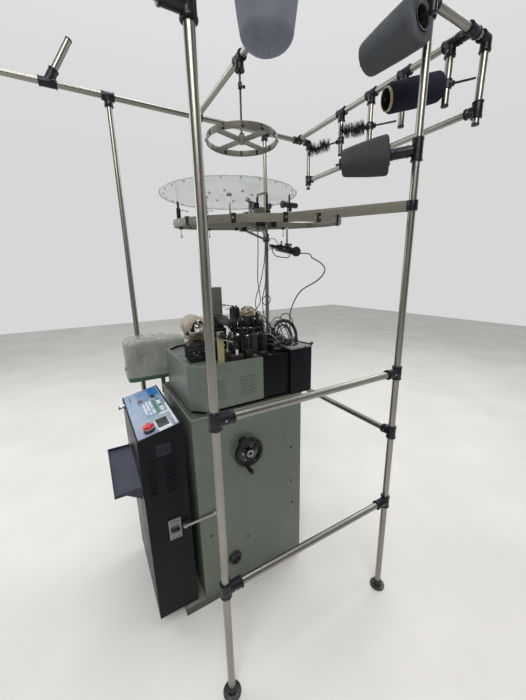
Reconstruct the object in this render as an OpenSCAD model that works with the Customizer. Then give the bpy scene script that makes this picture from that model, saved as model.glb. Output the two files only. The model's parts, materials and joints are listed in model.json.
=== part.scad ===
// Circular knitting machine with cabinet, head, swing-out control box and tube creel.
// Millimetres. +Z up, -Y is the operator's side, origin on the floor under the plinth centre.

/* [Cabinet] */
// cabinet width across the operator's side
cab_w = 482; // [440:1:520]
// cabinet depth without the plinth's front strip
cab_d = 514; // [480:1:540]
// height of the deck above the floor
deck_z = 915; // [880:1:940]
// wall thickness of the sheet-metal shell
wall = 3; // [2:0.5:4]

/* [Head] */
// radius of the needle cylinder
cyl_r = 52; // [48:1:54]
// top of the octagonal head guard
guard_top = 1110; // [1100:1:1120]

/* [Control box] */
// height of the box's front top edge
box_front_z = 875; // [860:1:880]
// height of the tray on the front of the box
tray_z = 690; // [640:1:720]

/* [Handwheel] */
// handwheel rim radius
wheel_r = 58; // [50:1:70]

/* [Creel] */
// outer radius of the creel tubes
tube_r = 12.5; // [12:0.5:13]
// centre height of the top loop
loop_z = 2215; // [2150:5:2260]
// radius of the flat-bar guide hoop
hoop_r = 335; // [300:5:340]
// radius of the clear guide disc
disc_r = 266; // [240:2:268]

/* [Hidden] */
$fn = 48;
hw = cab_w/2;
yb = 301;              // back of the cabinet
yf = yb - cab_d;       // front of the cabinet
jr = tube_r + 5;       // joiner radius
tw = 1.5;              // tube wall
xa = 567;              // near tube plane
xf = -414;             // far tube plane
ya = -235;             // post A
yb2 = 517;             // posts B and G
yF = -283;             // post F
yw = 747;              // wall-side top rail
yw2 = 835;             // end uprights and lower rail behind it
rail_lo = 472;
rail_mid = 1061;
rail_back = 806;
lad_lo = 2005;
yc = 122;              // cross tube
xc = 80;               // yarn ring centre line
hz0 = 1648;            // underside of the guide hoop
hx = 101; hy = 172;    // hoop centre
cx = 61; cy = 127;     // needle cylinder axis
sx = 61; sy = 13;      // main shaft axis
wz = 718;              // handwheel axis height
bed_z = 1097;          // top of the head bed
pan_a = 12.1;          // slope of the control panel
kx = -236; ky = -229;  // control box hinge line
pegs = [[497, yw, 2093, 246, -13, 236],
        [148, yw, 2088, 215, 0, 128],
        [-39, yw, 2091, 215, -6, 168],
        [xa, yb2, 1828, 221, -3, 262],
        [630, 440, 2138, 185, -5, 240]];
stubs = [497, 315, 148, -39];

module ax(a) {
  if (a == "x") rotate([0,90,0]) children();
  else if (a == "y") rotate([-90,0,0]) children();
  else if (a == "-x") rotate([0,-90,0]) children();
  else if (a == "-y") rotate([90,0,0]) children();
  else if (a == "-z") rotate([180,0,0]) children();
  else children();
}
module pipe(p, a, l, r = tube_r, t = tw)
  translate(p) ax(a) difference() {
    cylinder(r=r, h=l);
    translate([0,0,-1]) cylinder(r=r-t, h=l+2);
  }
module bar(p, a, l, r) translate(p) ax(a) cylinder(r=r, h=l);
module tee(p, a, b, l=40)
  translate(p) difference() {
    union() {
      ax(a) translate([0,0,-26]) cylinder(r=jr, h=52);
      ax(b) cylinder(r=jr, h=l);
    }
    ax(a) translate([0,0,-27]) cylinder(r=tube_r, h=54);
    ax(b) cylinder(r=tube_r, h=l+1);
  }
module elbow(p, dirs)
  translate(p) difference() {
    union() {
      for (d = dirs) ax(d) cylinder(r=jr, h=36);
      sphere(r=jr);
    }
    for (d = dirs) ax(d) translate([0,0,13]) cylinder(r=tube_r, h=24);
  }
module box(a, b) translate(a) cube(b - a);
module at_peg(q) translate([q[0],q[1],q[2]]) rotate([0,0,q[3]]) rotate([0,90-q[4],0]) children();
module on_panel(x, v, h) translate([x,-408,box_front_z+0.06]) rotate([pan_a,0,0]) translate([0,v,h]) children();
module rrect(x0, y0, x1, y1, r, h) {
  box([x0+r,y0,0],[x1-r,y1,h]);
  box([x0,y0+r,0],[x1,y1-r,h]);
  for (x = [x0+r,x1-r], y = [y0+r,y1-r]) translate([x,y,0]) cylinder(r=r, h=h);
}

// ---- swept cords ----
function crp(a,b,c,d,t) = 0.5*((2*b)+(c-a)*t+(2*a-5*b+4*c-d)*t*t+(-a+3*b-3*c+d)*t*t*t);
function route(p, n) = let (m = len(p)) concat(
  [for (i=[0:m-2], k=[0:n-1])
    crp(p[i==0?0:i-1], p[i], p[i+1], p[i+2>m-1?m-1:i+2], k/n)], [p[m-1]]);
module cord(p, r, n, s) {
  q = route(p, n); m = len(q);
  pts = [for (i=[0:m-1]) let (
      t = q[i==m-1?i:i+1]-q[i==0?0:i-1],
      u = cross(t,[0.3,1,0.12]), a = u/norm(u), v = cross(t,a), b = v/norm(v))
    for (k=[0:s-1]) q[i]+r*(a*cos(360*k/s)+b*sin(360*k/s))];
  side = [for (i=[0:m-2], k=[0:s-1]) let (a=i*s+k, b=i*s+(k+1)%s) each [[a,b,a+s],[b,b+s,a+s]]];
  polyhedron(points=pts, faces=concat(side,
    [[for (k=[s-1:-1:0]) k], [for (k=[0:s-1]) (m-1)*s+k]]));
}

// ---- cabinet ----
module plinth() color([0.22,0.23,0.22]) difference() {
  box([-hw,-301,0],[hw,yb,40]);
  box([-hw+6,-207,5],[hw-6,yb-6,41]);
  box([-hw+6,-295,5],[hw-6,-213,35]);
}
module cabinet_shell() color([0.36,0.40,0.36]) difference() {
  box([-hw,yf,40],[hw,yb,deck_z-12]);
  box([-hw+wall,yf+wall,43],[hw-wall,yb-wall,deck_z]);
  bar([hw-10,sy,wz],"x",20,24.2);
  bar([cx,yb-10,620],"y",20,41);
}
module top_rim() color([0.62,0.60,0.54]) difference() {
  box([-hw-3,yf-3,deck_z-12],[hw+3,yb+3,deck_z]);
  box([-170,-150,deck_z-13],[190,215,deck_z+1]);
}
module guard_poly(o) polygon([[-150+0.41*o,-199+o],[186-0.44*o,-199+o],[234-o,-147+0.42*o],
  [234-o,112],[-213+o,112],[-213+o,-136+0.41*o]]);
module head_guard() color([0.36,0.40,0.36]) {
  difference() {
    translate([0,0,928]) linear_extrude(guard_top-928) guard_poly(0);
    translate([0,0,927]) linear_extrude(300) guard_poly(3);
    box([-220,109,900],[240,113,1200]);
    for (i=[0:5]) {
      box([225,-103,972+15*i],[240,-63,975+15*i]);
      box([225,4,972+15*i],[240,67,975+15*i]);
      box([-220,-60,972+15*i],[-205,0,975+15*i]);
    }
  }
  difference() {
    translate([0,0,guard_top-3]) linear_extrude(3) guard_poly(0.5);
    translate([0,0,guard_top-4]) linear_extrude(5) guard_poly(14);
    box([-220,109,900],[240,113,1200]);
  }
}
module rear_guard() color([0.05,0.05,0.06]) {
  difference() {
    box([-213,109.3,928],[232,239,guard_top+2]);
    box([-210,100,927],[229,236,1200]);
    for (i=[0:3]) box([-120,230,972+20*i],[120,245,976+20*i]);
  }
  difference() {
    union() {
      translate([0,0,deck_z]) linear_extrude(12.8) guard_poly(9);
      box([-204,105,deck_z],[223,232,deck_z+12.8]);
    }
    translate([0,0,deck_z-1]) linear_extrude(15) guard_poly(22);
    box([-191,90,deck_z-1],[210,219,deck_z+15]);
  }
}
module head_bed() color([0.20,0.19,0.18]) difference() {
  union() {
    difference() {
      translate([0,0,bed_z-12]) linear_extrude(12) guard_poly(3.6);
      box([-220,108.5,bed_z-13],[240,113,bed_z+1]);
    }
    box([-209,100,bed_z-12],[228,235,bed_z]);
    for (p=[[-176,-95],[195,-95],[-176,205],[195,205]]) bar([p[0],p[1],deck_z],"z",bed_z-deck_z-6,12);
  }
  bar([cx,cy,bed_z-20],"z",30,cyl_r+0.06);
  bar([sx,sy,bed_z-20],"z",30,12.05);
}
module valve_box() color([0.06,0.06,0.10]) {
  difference() {
    box([21,244,deck_z],[hw,358,1122]);
    box([24,247,deck_z+3],[hw-3,355,1119]);
  }
  box([19,242,1122.2],[hw+2,360,1130]);
}
module side_screws() color([0.72,0.72,0.70]) {
  for (p=[[246,651],[246,471],[253,342],[5,267],[-168,359]]) bar([hw,p[0],p[1]],"x",3,5.5);
  bar([hw,-150,480],"x",11,4);
  for (p=[[246,651],[246,300],[-168,651],[-168,300]]) bar([-hw,p[0],p[1]],"-x",3,5.5);
}
module inlet_plug() color([0.05,0.05,0.06]) difference() {
  union() {
    bar([hw,-65,186],"x",5,33);
    bar([hw,-65,186],"x",15,27);
  }
  bar([hw+5,-65,186],"x",12,20);
}
module hinge_brackets() color([0.30,0.36,0.31]) for (z=[140,740]) {
  bar([kx,ky,z],"z",18,8);
  bar([kx,ky,z],"z",43,4);
  box([kx-8,ky,z],[kx+8,yf,z+18]);
}

// ---- drive inside the cabinet ----
module drive_frame() color([0.45,0.46,0.47]) difference() {
  union() {
    box([-hw+wall,-45,560],[hw-wall,70,568]);
    box([-hw+wall,-45,872],[hw-wall,70,880]);
    bar([sx,sy,556],"z",20,26);
    bar([sx,sy,864],"z",20,26);
    box([-180,-130,500],[-40,10,508]);
    box([-180,-45,508],[-172,10,560]);
  }
  for (z=[550,860]) bar([sx,sy,z],"z",30,12.05);
  bar([-110,-60,499],"z",10,20);
}
module drive_motor() color([0.18,0.28,0.34]) {
  bar([-110,-60,300],"z",200,65);
  bar([-110,-60,285],"z",15,58);
  box([-150,-150,340],[-70,-110,440]);
}
module motor_pulley() color([0.6,0.6,0.6]) {
  bar([-110,-60,500.5],"z",10,9);
  bar([-110,-60,510],"z",34,30);
}
module belt2d(e) hull() {
  translate([-110,-60]) circle(r=30+e);
  translate([sx,sy]) circle(r=40+e);
}
module drive_belt() color([0.05,0.05,0.05]) translate([0,0,516]) linear_extrude(20)
  difference() { belt2d(4.5); belt2d(0.6); }
module main_shaft() color([0.62,0.63,0.64]) {
  bar([sx,sy,505],"z",587,12);
  bar([sx,sy,510],"z",32,40);
  translate([sx,sy,wz+26]) cylinder(r1=24, r2=36, h=12);
  bar([sx,sy,wz+38],"z",10,22);
  bar([sx,sy,1042],"z",22,33);
}
module fabric_tube() color([0.70,0.71,0.72]) difference() {
 union() {
  pipe([cx,cy,690],"z",370,40,2);
  bar([cx,302,620],"y",4,47);
  translate([cx,cy+70,690]) rotate([0,90,0]) rotate([0,0,-90]) rotate_extrude(angle=90)
    translate([70,0]) difference() { circle(r=40); circle(r=38); }
  pipe([cx,cy+70,620],"y",163,40,2);
 }
  bar([cx,250,620],"y",120,38);
}
module wheel_bearing() color([0.66,0.66,0.66]) difference() {
  union() {
    bar([hw-14,sy,wz],"x",14,24);
    bar([hw,sy,wz],"x",11,28);
  }
  bar([hw-20,sy,wz],"x",40,10.05);
}
module handwheel() color([0.06,0.06,0.06]) {
  translate([sx+26,sy,wz]) ax("x") cylinder(r1=24, r2=36, h=12);
  bar([sx+36,sy,wz],"x",hw+16-sx-36,10);
  bar([hw+13,sy,wz],"x",26,19);
  translate([hw+27,sy,wz]) ax("x") rotate_extrude() translate([wheel_r-3,0]) circle(r=11);
  for (a=[30,150,270]) translate([hw+27,sy,wz]) rotate([a,0,0])
    translate([-5,16,-8]) cube([10,wheel_r-22,16]);
  translate([hw+27,sy,wz]) rotate([252,0,0]) translate([0,wheel_r,0]) ax("x") cylinder(r=4, h=56);
  translate([hw+27,sy,wz]) rotate([113,0,0]) translate([-9,wheel_r+3.5,0]) ax("x") cylinder(r=20, h=24);
}
module wheel_knob() color([0.05,0.05,0.05])
  translate([hw+27,sy,wz]) rotate([252,0,0]) translate([0,wheel_r,0]) ax("x") difference() {
    translate([0,0,12]) cylinder(r1=8, r2=10, h=49);
    translate([0,0,11]) cylinder(r=4.06, h=45.6);
  }

// ---- knitting head ----
module needle_cylinder() color([0.66,0.66,0.64]) difference() {
  union() {
    bar([cx,cy,1042],"z",24,80);
    bar([cx,cy,1064],"z",121,cyl_r);
  }
  bar([cx,cy,1040],"z",150,46);
  for (i=[0:23]) translate([cx,cy,1110]) rotate([0,0,15*i]) box([cyl_r-1.5,-1,0],[cyl_r+2,1,80]);
}
module cam_ring() color([0.24,0.19,0.15]) {
  difference() {
    union() {
      bar([cx,cy,bed_z],"z",48,90);
      for (i=[0:7]) translate([cx,cy,bed_z]) rotate([0,0,22+45*i]) box([60,-17,40],[88,17,84]);
      for (i=[0:2]) translate([cx,cy,bed_z]) rotate([0,0,120*i]) bar([70,0,80],"z",24,5);
      bar([cx,cy,1199],"z",12,80);
      box([0,70,1205],[30,108,1292]);
    }
    bar([cx,cy,bed_z-1],"z",120,cyl_r+1.2);
    box([8,60,1260],[22,116,1300]);
  }
}
module dial() color([0.80,0.74,0.52]) {
  bar([cx,cy,1190],"z",8,44);
  bar([cx,cy,1198],"z",66,10);
  bar([cx,cy,1263],"z",20,32);
  bar([cx,cy,1283],"z",6,25);
}
module dial_bridge() color([0.26,0.25,0.25]) difference() {
  union() {
    box([-98.9,30,1222],[75,66,1246]);
    box([41,60,1222],[81,110,1246]);
    bar([cx,cy,1222],"z",40,30);
  }
  bar([cx,cy,1200],"z",80,10.05);
}
module tower_column() color([0.36,0.40,0.36]) difference() {
  box([-159,0,bed_z],[-99,77,1385]);
  box([-156,3,bed_z-1],[-102,74,1382]);
}
module stepper_block() color([0.16,0.14,0.13]) {
  box([55,-160,bed_z],[112,-85,1178]);
  for (z=[1110,1128,1146,1164]) box([52,-163,z],[115,-82,z+8]);
}
module blower_cover() color([0.66,0.61,0.53]) difference() {
  union() {
    translate([-12,-112,1236]) ax("x") cylinder(r=44, h=82);
    translate([70,-112,1236]) ax("x") cylinder(r1=44, r2=31, h=10);
    box([-12,-146,1178],[60,-80,1236]);
  }
  translate([30,-112,1236]) ax("x") cylinder(r=22, h=60);
}
module air_fittings() color([0.80,0.80,0.80]) {
  bar([156,56,bed_z],"z",16,20);
  bar([156,56,bed_z],"z",112,14);
  bar([156,56,1200],"z",34,5);
  bar([31,-112,1236],"x",75,12);
  bar([90,-112,1236],"x",10,19);
}
module mount_bracket() color([0.70,0.66,0.42]) {
  box([206,-86,bed_z],[218,-36,bed_z+4]);
  box([210,-79,bed_z],[214,-53,1234]);
  bar([214,-66,1222],"x",9,4);
}
module adjust_knob() color([0.05,0.05,0.05]) difference() {
  bar([215,-66,1222],"x",24,14);
  bar([214,-66,1222],"x",10,4.06);
}
module tube_manifold() color([0.06,0.06,0.09]) {
  box([132,192,bed_z],[178,232,1180]);
  for (y=[200,212,224], z=[1120,1150]) bar([178,y,z],"x",8,5);
  for (x=[142,155,168]) bar([x,212,1180],"z",8,5);
}

// ---- control box ----
module control_box() color([0.36,0.40,0.36]) {
  difference() {
    translate([-240,0,0]) rotate([90,0,90]) linear_extrude(471)
      polygon([[-408,50],[-245,50],[-245,910],[-408,box_front_z]]);
    translate([-237,0,0]) rotate([90,0,90]) linear_extrude(465)
      polygon([[-405,53],[-248,53],[-248,906],[-405,box_front_z-4]]);
    for (i=[0:7]) {
      box([225,-384,650+19*i],[240,-356,653+19*i]);
      box([225,-322,640+19*i],[240,-278,643+19*i]);
    }
    box([225,-349,790],[240,-293,850]);
    box([225,-331,424],[240,-291,504]);
  }
  difference() {
    box([225,-351,788],[228,-291,852]);
    bar([220,-333,820],"x",20,9);
    bar([220,-309,820],"x",20,9);
  }
  difference() {
    box([222,-335,420],[238,-287,508]);
    box([232,-329,449],[240,-293,479]);
  }
  for (z=[140,740]) difference() {
    union() {
      bar([kx,ky,z+19],"z",23,8);
      box([kx-8,-245.5,z+19],[kx+8,ky,z+42]);
    }
    bar([kx,ky,z+10],"z",40,4.3);
  }
  bar([230,-273,472],"x",25,4);
  bar([252.4,-273,472],"x",3,7);
}
module ring_h(r1, r2, h) difference() { cylinder(r=r1, h=h); translate([0,0,-1]) cylinder(r=r2, h=h+2); }
module panel_plate() color([0.12,0.14,0.20]) {
  on_panel(-232,6,0) cube([455,154,3]);
  on_panel(128,80,3) cube([84,54,3]);
  on_panel(-72,60,3) cube([150,86,2]);
  on_panel(-222,108,3) cube([104,44,2]);
  for (i=[0:6], j=[0:2]) on_panel(-64+20*i,66+17*j,5) cube([14,12,1.2]);
  for (i=[0:5]) on_panel(-62+23*i,124,5) cube([16,14,1.2]);
  // bezels of the buttons and the key switch
  on_panel(190,54,3) ring_h(21,7.5,5);
  on_panel(-97,122,3) ring_h(12,9.4,6);
  on_panel(-94,62,3) ring_h(12,9.4,6);
  translate([-165,-408,860]) ax("-y") difference() {
    cylinder(r=13, h=4);
    translate([0,0,1]) cylinder(r=5.5, h=4);
  }
}
module estop_button() color([0.72,0.06,0.05]) {
  on_panel(190,54,7.6) cylinder(r=7, h=8);
  on_panel(190,54,14) cylinder(r1=17, r2=20, h=5);
  on_panel(190,54,19) cylinder(r=20, h=6);
  on_panel(190,54,25) cylinder(r1=20, r2=15, h=5);
}
module push_black() color([0.05,0.05,0.05]) on_panel(-97,122,7.2) cylinder(r=9, h=8);
module push_tan() color([0.50,0.33,0.18]) on_panel(-94,62,7.2) cylinder(r=9, h=8);
module key_switch() color([0.75,0.75,0.76]) translate([-165,-408,860]) {
  translate([0,-1.5,0]) ax("-y") cylinder(r=5, h=10);
  translate([0,-9,0]) ax("-y") cylinder(r=9, h=6);
  box([-2.5,-26,-9],[2.5,-14,9]);
}
module breaker_toggle() color([0.10,0.12,0.12]) translate([237,-311,464]) {
  ax("y") translate([0,0,-16]) cylinder(r=4.5, h=32);
  rotate([0,-25,0]) box([1,-14,-2.5],[16,14,2.5]);
}
module front_tray() color([0.34,0.36,0.44]) {
  difference() {
    box([-100,-503,tray_z],[241,-409,tray_z+14]);
    box([-97,-500,tray_z+3],[238,-412,tray_z+20]);
  }
  for (x=[-80,205]) {
    box([x,-409.5,tray_z-60],[x+16,-408,tray_z+10]);
    translate([x+6,0,0]) rotate([90,0,90]) linear_extrude(4)
      polygon([[-408,tray_z-58],[-408,tray_z],[-490,tray_z]]);
  }
}
module hook_catch() color([0.55,0.55,0.55]) difference() {
  union() {
    bar([247,-273,472],"x",5,9);
    box([247,-273,464.4],[251,-128,475.4]);
    box([247,-140,464.4],[256,-128,475.4]);
  }
  bar([240,-273,472],"x",20,4.3);
}

// ---- sock hood ----
module hood_tray() color([0.10,0.30,0.24]) {
  difference() {
    translate([0,0,938]) rrect(-398,-365,-250,-73,28,17);
    translate([0,0,941]) rrect(-395,-362,-253,-76,25,17);
  }
  for (x=[-368,-286]) {
    box([x,-73.5,938],[x+6,-60,957]);
    box([x,-72.4,938],[x+6,-60,962]);
    bar([x,-66,962],"x",6,6.3);
  }
  bar([-366,-66,962],"x",82,3);
  for (y=[-215,-130]) {
    box([-262,y,860],[-252,y+20,938]);
    box([-252,y,860],[-hw,y+20,896]);
  }
}
module hood() color([0.42,0.43,0.45]) {
  difference() {
    translate([0,0,958]) rrect(-398,-365,-250,-73,28,192);
    translate([0,0,957]) rrect(-395,-362,-253,-76,25,190);
  }
  difference() {
    union() {
      bar([-361,-66,962],"x",74,6);
      box([-361,-74,958.5],[-287,-66,966]);
    }
    bar([-380,-66,962],"x",100,3.3);
  }
  box([-340,-372,985],[-310,-364,1000]);
}

// ---- creel ----
module creel_posts() color([0.68,0.68,0.66]) {
  h = loop_z-tube_r-8;
  for (p=[[xa,ya],[xa,yb2],[xf,yF],[xf,yb2]]) pipe([p[0],p[1],8],"z",h);
}
module bend(p, a) translate(p) rotate([0,0,a]) rotate_extrude(angle=90)
  translate([150,0]) difference() { circle(r=tube_r); circle(r=tube_r-tw); }
module top_loop() color([0.68,0.68,0.66]) {
  pipe([xa,-663,loop_z],"y",yw2-13+663);
  pipe([xf,-663,loop_z],"y",yw2-13+663);
  bend([xa-150,-663,loop_z],270);
  bend([xf+150,-663,loop_z],180);
  pipe([xf+150,-813,loop_z],"x",xa-xf-300);
}
module creel_tubes() color([0.68,0.68,0.66]) {
  g = tube_r;
  for (z=[rail_lo,rail_mid]) pipe([xa,ya+g,z],"y",yb2-ya-2*g);
  pipe([xf+g,yb2,rail_back],"x",xa-xf-2*g);
  pipe([xf+g,yc,loop_z],"x",xa-xf-2*g);
  pipe([xf+g,yw,loop_z],"x",xa-xf-2*g);
  pipe([xf+g,yw2,lad_lo],"x",xa-xf-2*g);
  for (x=stubs) pipe([x,yw,2030],"z",loop_z-tube_r-2030);
  pipe([xa,-53,2030],"z",loop_z-tube_r-2030);
  for (x=[xa,xf]) pipe([x,yw2,1962],"z",loop_z-13-1962);
  pipe([xa,ya-tube_r-240,1965],"y",240);
  translate([xf,-503,loop_z]) rotate([-30,0,0]) pipe([0,0,22],"z",170);
}
module tube_joiners() color([0.08,0.09,0.14]) {
  tee([xa,ya,rail_lo],"z","y",56); tee([xa,ya,rail_mid],"z","y",56);
  tee([xa,ya,1965],"z","-y",60); tee([xa,ya,loop_z],"y","-z");
  tee([xa,yb2,rail_lo],"z","-y",56); tee([xa,yb2,rail_mid],"z","-y",56);
  tee([xa,yb2,rail_back],"z","-x"); tee([xa,yb2,loop_z],"y","-z");
  tee([xf,yF,loop_z],"y","-z"); tee([xf,yb2,loop_z],"y","-z");
  tee([xf,yb2,rail_back],"z","x");
  tee([xc,yc,loop_z],"x","-z"); tee([xa,-53,loop_z],"y","-z");
  tee([xa,yw,loop_z],"y","-x");
  for (x=stubs) tee([x,yw,loop_z],"x","-z");
  tee([xa,yw2,lad_lo],"z","-x"); tee([xf,yw2,lad_lo],"z","x");
  for (x=[xa,xf]) elbow([x,yw2,loop_z],["-y","-z"]);
  // end caps
  for (x=stubs) bar([x,yw,2024],"z",6,tube_r+0.5);
  for (x=[xa,xf]) bar([x,yw2,1956],"z",6,tube_r+0.5);
  bar([xa,ya-tube_r-246,1965],"y",6,tube_r+0.5);
  translate([xf,-503,loop_z]) rotate([-30,0,0]) translate([0,0,192]) cylinder(r=tube_r+0.5, h=7);
}
module loop_joiners() color([0.08,0.09,0.14]) {
  tee([xa,yc,loop_z],"y","-x"); tee([xf,yc,loop_z],"y","x");
  tee([xf,yw,loop_z],"y","x");
  translate([xf,-503,loop_z]) difference() {
    union() {
      ax("y") translate([0,0,-32]) cylinder(r=jr, h=64);
      rotate([-30,0,0]) cylinder(r=jr, h=58);
    }
    ax("y") translate([0,0,-33]) cylinder(r=tube_r, h=66);
    rotate([-30,0,0]) cylinder(r=tube_r, h=60);
  }
}
module post_feet() color([0.10,0.10,0.10]) for (p=[[xa,ya],[xa,yb2],[xf,yF],[xf,yb2]])
  translate([p[0],p[1],0]) difference() {
    union() { cylinder(r=32, h=7); cylinder(r=tube_r+4, h=34); }
    translate([0,0,8]) cylinder(r=tube_r, h=40);
  }
module brush(s) translate([0,0,s]) {
  cylinder(r=9, h=104);
  for (i=[0:9]) translate([0,0,4+10.3*i]) cylinder(r=28, h=3);
}
module cone_pegs() color([0.06,0.06,0.07]) {
  for (k=[0:2]) difference() {
    union() {
      translate([pegs[k][0],pegs[k][1],pegs[k][2]-14]) cylinder(r=17, h=28);
      at_peg(pegs[k]) cylinder(r=9, h=24);
    }
    translate([pegs[k][0],pegs[k][1],pegs[k][2]-40]) cylinder(r=tube_r, h=80);
  }
  for (k=[0,1]) at_peg(pegs[k]) translate([0,0,-112]) cylinder(r=4, h=98);
  for (k=[0:2]) at_peg(pegs[k]) translate([0,0,tube_r+3]) cylinder(r=4, h=pegs[k][5]-tube_r-3);
  at_peg(pegs[1]) brush(22);
  at_peg(pegs[2]) brush(56);
  // thick socket under the charcoal cone
  difference() {
    union() {
      translate([xa,yb2,pegs[3][2]-31]) cylinder(r=jr, h=62);
      at_peg(pegs[3]) cylinder(r=jr, h=85);
    }
    translate([xa,yb2,pegs[3][2]-40]) cylinder(r=tube_r, h=80);
  }
  at_peg(pegs[3]) translate([0,0,80]) cylinder(r=4, h=pegs[3][5]-80);
  // hanger on the side tube for the dark cone
  difference() {
    bar([xa,426,loop_z],"y",28,jr+1);
    bar([xa,420,loop_z],"y",40,tube_r);
  }
  bar([xa+tube_r+2,440,loop_z],"x",63-tube_r-2,8);
  bar([630,440,2124],"z",loop_z+8-2124,8.5);
  at_peg(pegs[4]) cylinder(r=4, h=pegs[4][5]);
}
module yarn_cone(s, l, rb, rt, bb, bt) translate([0,0,s]) difference() {
  union() {
    cylinder(r1=rb-5, r2=rb, h=6);
    translate([0,0,6]) cylinder(r1=rb, r2=rt+2, h=l-14);
    translate([0,0,l-8]) cylinder(r1=rt+2, r2=rt-5, h=8);
    translate([0,0,l-1]) cylinder(r=bt+3, h=9);
  }
  translate([0,0,-1]) cylinder(r1=bb, r2=bt, h=l+10);
}
module cone_black() color([0.05,0.05,0.06]) at_peg(pegs[0]) yarn_cone(30,195,46,46,18,34);
module cone_charcoal() color([0.13,0.13,0.14]) at_peg(pegs[3]) yarn_cone(86,155,61,43,28,14);
module cone_dark() color([0.18,0.19,0.20]) at_peg(pegs[4]) yarn_cone(30,185,63,49,28,14);
module cone_grey() color([0.42,0.43,0.48]) translate([xa,-53,0]) difference() {
  union() {
    translate([0,0,1975]) cylinder(r1=62, r2=86, h=192);
    translate([0,0,1975]) scale([1,1,0.6]) sphere(r=62);
  }
  translate([0,0,2030]) cylinder(r1=13, r2=30, h=140);
}
module flat_bar(p, a, l, h, t) translate(p) rotate([0,0,a]) translate([0,-t/2,0]) cube([l,t,h]);
module hoop_tilt() translate([hx,hy,hz0-14]) rotate([0,0,60.33]) rotate([5.2,0,0]) rotate([0,0,-60.33]) children();
module guide_hoop() color([0.35,0.34,0.30]) {
  hoop_tilt() {
    ring_h(hoop_r+3, hoop_r-3, 25);
    for (a=[103,216.5,260]) flat_bar([0,0,2],a,hoop_r,20,5);
    translate([0,0,-8]) cylinder(r=26, h=58);
  }
  difference() {
    union() {
      flat_bar([hx,hy,hz0-6],36.5,579,36,5);
      flat_bar([hx,hy,hz0],146.2,620,25,5);
      bar([xa,yb2,hz0-4],"z",32,18);
      bar([xf,yb2,hz0-4],"z",32,18);
    }
    bar([xa,yb2,hz0-30],"z",90,tube_r);
    bar([xf,yb2,hz0-30],"z",90,tube_r);
  }
  for (p=[[81,57,-1],[268,-118,-20],[-91,-102,9]]) bar([p[0],p[1],hz0+p[2]],"z",95-p[2],5);
  for (p=[[268,-118,-10],[-91,-102,19]]) bar([p[0],p[1],hz0+p[2]],"z",50,9);
}
module guide_disc() color([0.85,0.88,0.90]) translate([81,57,1743]) {
  difference() {
    cylinder(r=disc_r, h=4);
    for (i=[0:23]) rotate([0,0,15*i]) translate([disc_r-16,0,-1]) cylinder(r=3, h=6);
    for (i=[0:7]) rotate([0,0,45*i+10]) translate([90,0,-1]) cylinder(r=5, h=6);
  }
  translate([0,0,4]) cylinder(r=11, h=7);
}
module yarn_ring() color([0.33,0.31,0.28]) translate([xc,yc,0]) {
  translate([0,0,1938]) ring_h(138,134,22);
  translate([0,0,1938]) cylinder(r=13, h=28);
  for (a=[20,110,200,290]) flat_bar([0,0,1940],a,135,18,4);
  translate([0,0,1960]) cylinder(r=4, h=225);
  translate([0,0,2176]) cylinder(r=tube_r-0.05, h=20);
  translate([0,0,2120]) cylinder(r=8, h=20);
}
module feeder_tilt() translate([0,347,1562]) rotate([-10,0,0]) translate([0,-347,-1562]) children();
module feeder_body() color([0.05,0.05,0.05]) {
  bar([61,347,1550],"z",hz0-3.5-1550,5);
  feeder_tilt() {
    box([40,300,1536],[68,405,1562]);
    box([44,262,1544],[64,302,1556]);
    bar([68,392,1548],"x",16,3);
    bar([54,404,1549],"y",16,6);
  }
}
module feeder_roller() color([0.30,0.30,0.32]) feeder_tilt() difference() {
  union() {
    bar([70,392,1548],"x",3,22);
    bar([72,392,1548],"x",8,17);
    bar([79,392,1548],"x",3,22);
  }
  bar([60,392,1548],"x",30,3.06);
}

// ---- cords ----
module feeder_cable() color([0.04,0.04,0.04])
  cord([[54,416.9,1536.5],[54,429,1534.4],[90,436,1532],[150,415,1522],[194,387,1508],[280,365,1482],
        [327,347,1453],[322,317,1416],[230,297,1366],[179,287,1286],[172,287,1231],[172,290,1130.3]],2.5,2,8);
module post_cable() color([0.05,0.05,0.05])
  cord([[-400,506,1643.5],[-396,500,1600],[-386,482,1500],[-360,440,1390],[-290,370,1312],[-170,300,1272],
        [-40,250,1252],[60,224,1240],[118,213,1224],[140,212,1206],[142,212,1188.3]],2.5,2,8);
module air_conduit() color([0.05,0.05,0.10])
  cord([[155,212,1188.3],[155,212,1200],[154,216,1213],[151,235,1230],[148,262,1236],[145,290,1232],
        [143,315,1216],[141,334,1192],[141,343,1165],[141,344,1130.3]],7.5,2,12);

plinth();
cabinet_shell();
top_rim();
head_guard();
rear_guard();
head_bed();
valve_box();
side_screws();
inlet_plug();
hinge_brackets();
drive_frame();
drive_motor();
motor_pulley();
drive_belt();
main_shaft();
fabric_tube();
wheel_bearing();
handwheel();
wheel_knob();
needle_cylinder();
cam_ring();
dial();
dial_bridge();
tower_column();
stepper_block();
blower_cover();
air_fittings();
mount_bracket();
adjust_knob();
tube_manifold();
control_box();
panel_plate();
estop_button();
push_black();
push_tan();
key_switch();
breaker_toggle();
front_tray();
hook_catch();
hood_tray();
hood();
creel_posts();
creel_tubes();
top_loop();
tube_joiners();
loop_joiners();
post_feet();
cone_pegs();
cone_black();
cone_charcoal();
cone_dark();
cone_grey();
guide_hoop();
guide_disc();
yarn_ring();
feeder_body();
feeder_roller();
feeder_cable();
post_cable();
air_conduit();
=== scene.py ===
import bpy
import bmesh
import json
import math
import random
from math import sin, cos, pi, radians
from mathutils import Vector, Matrix, noise as mnoise

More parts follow.
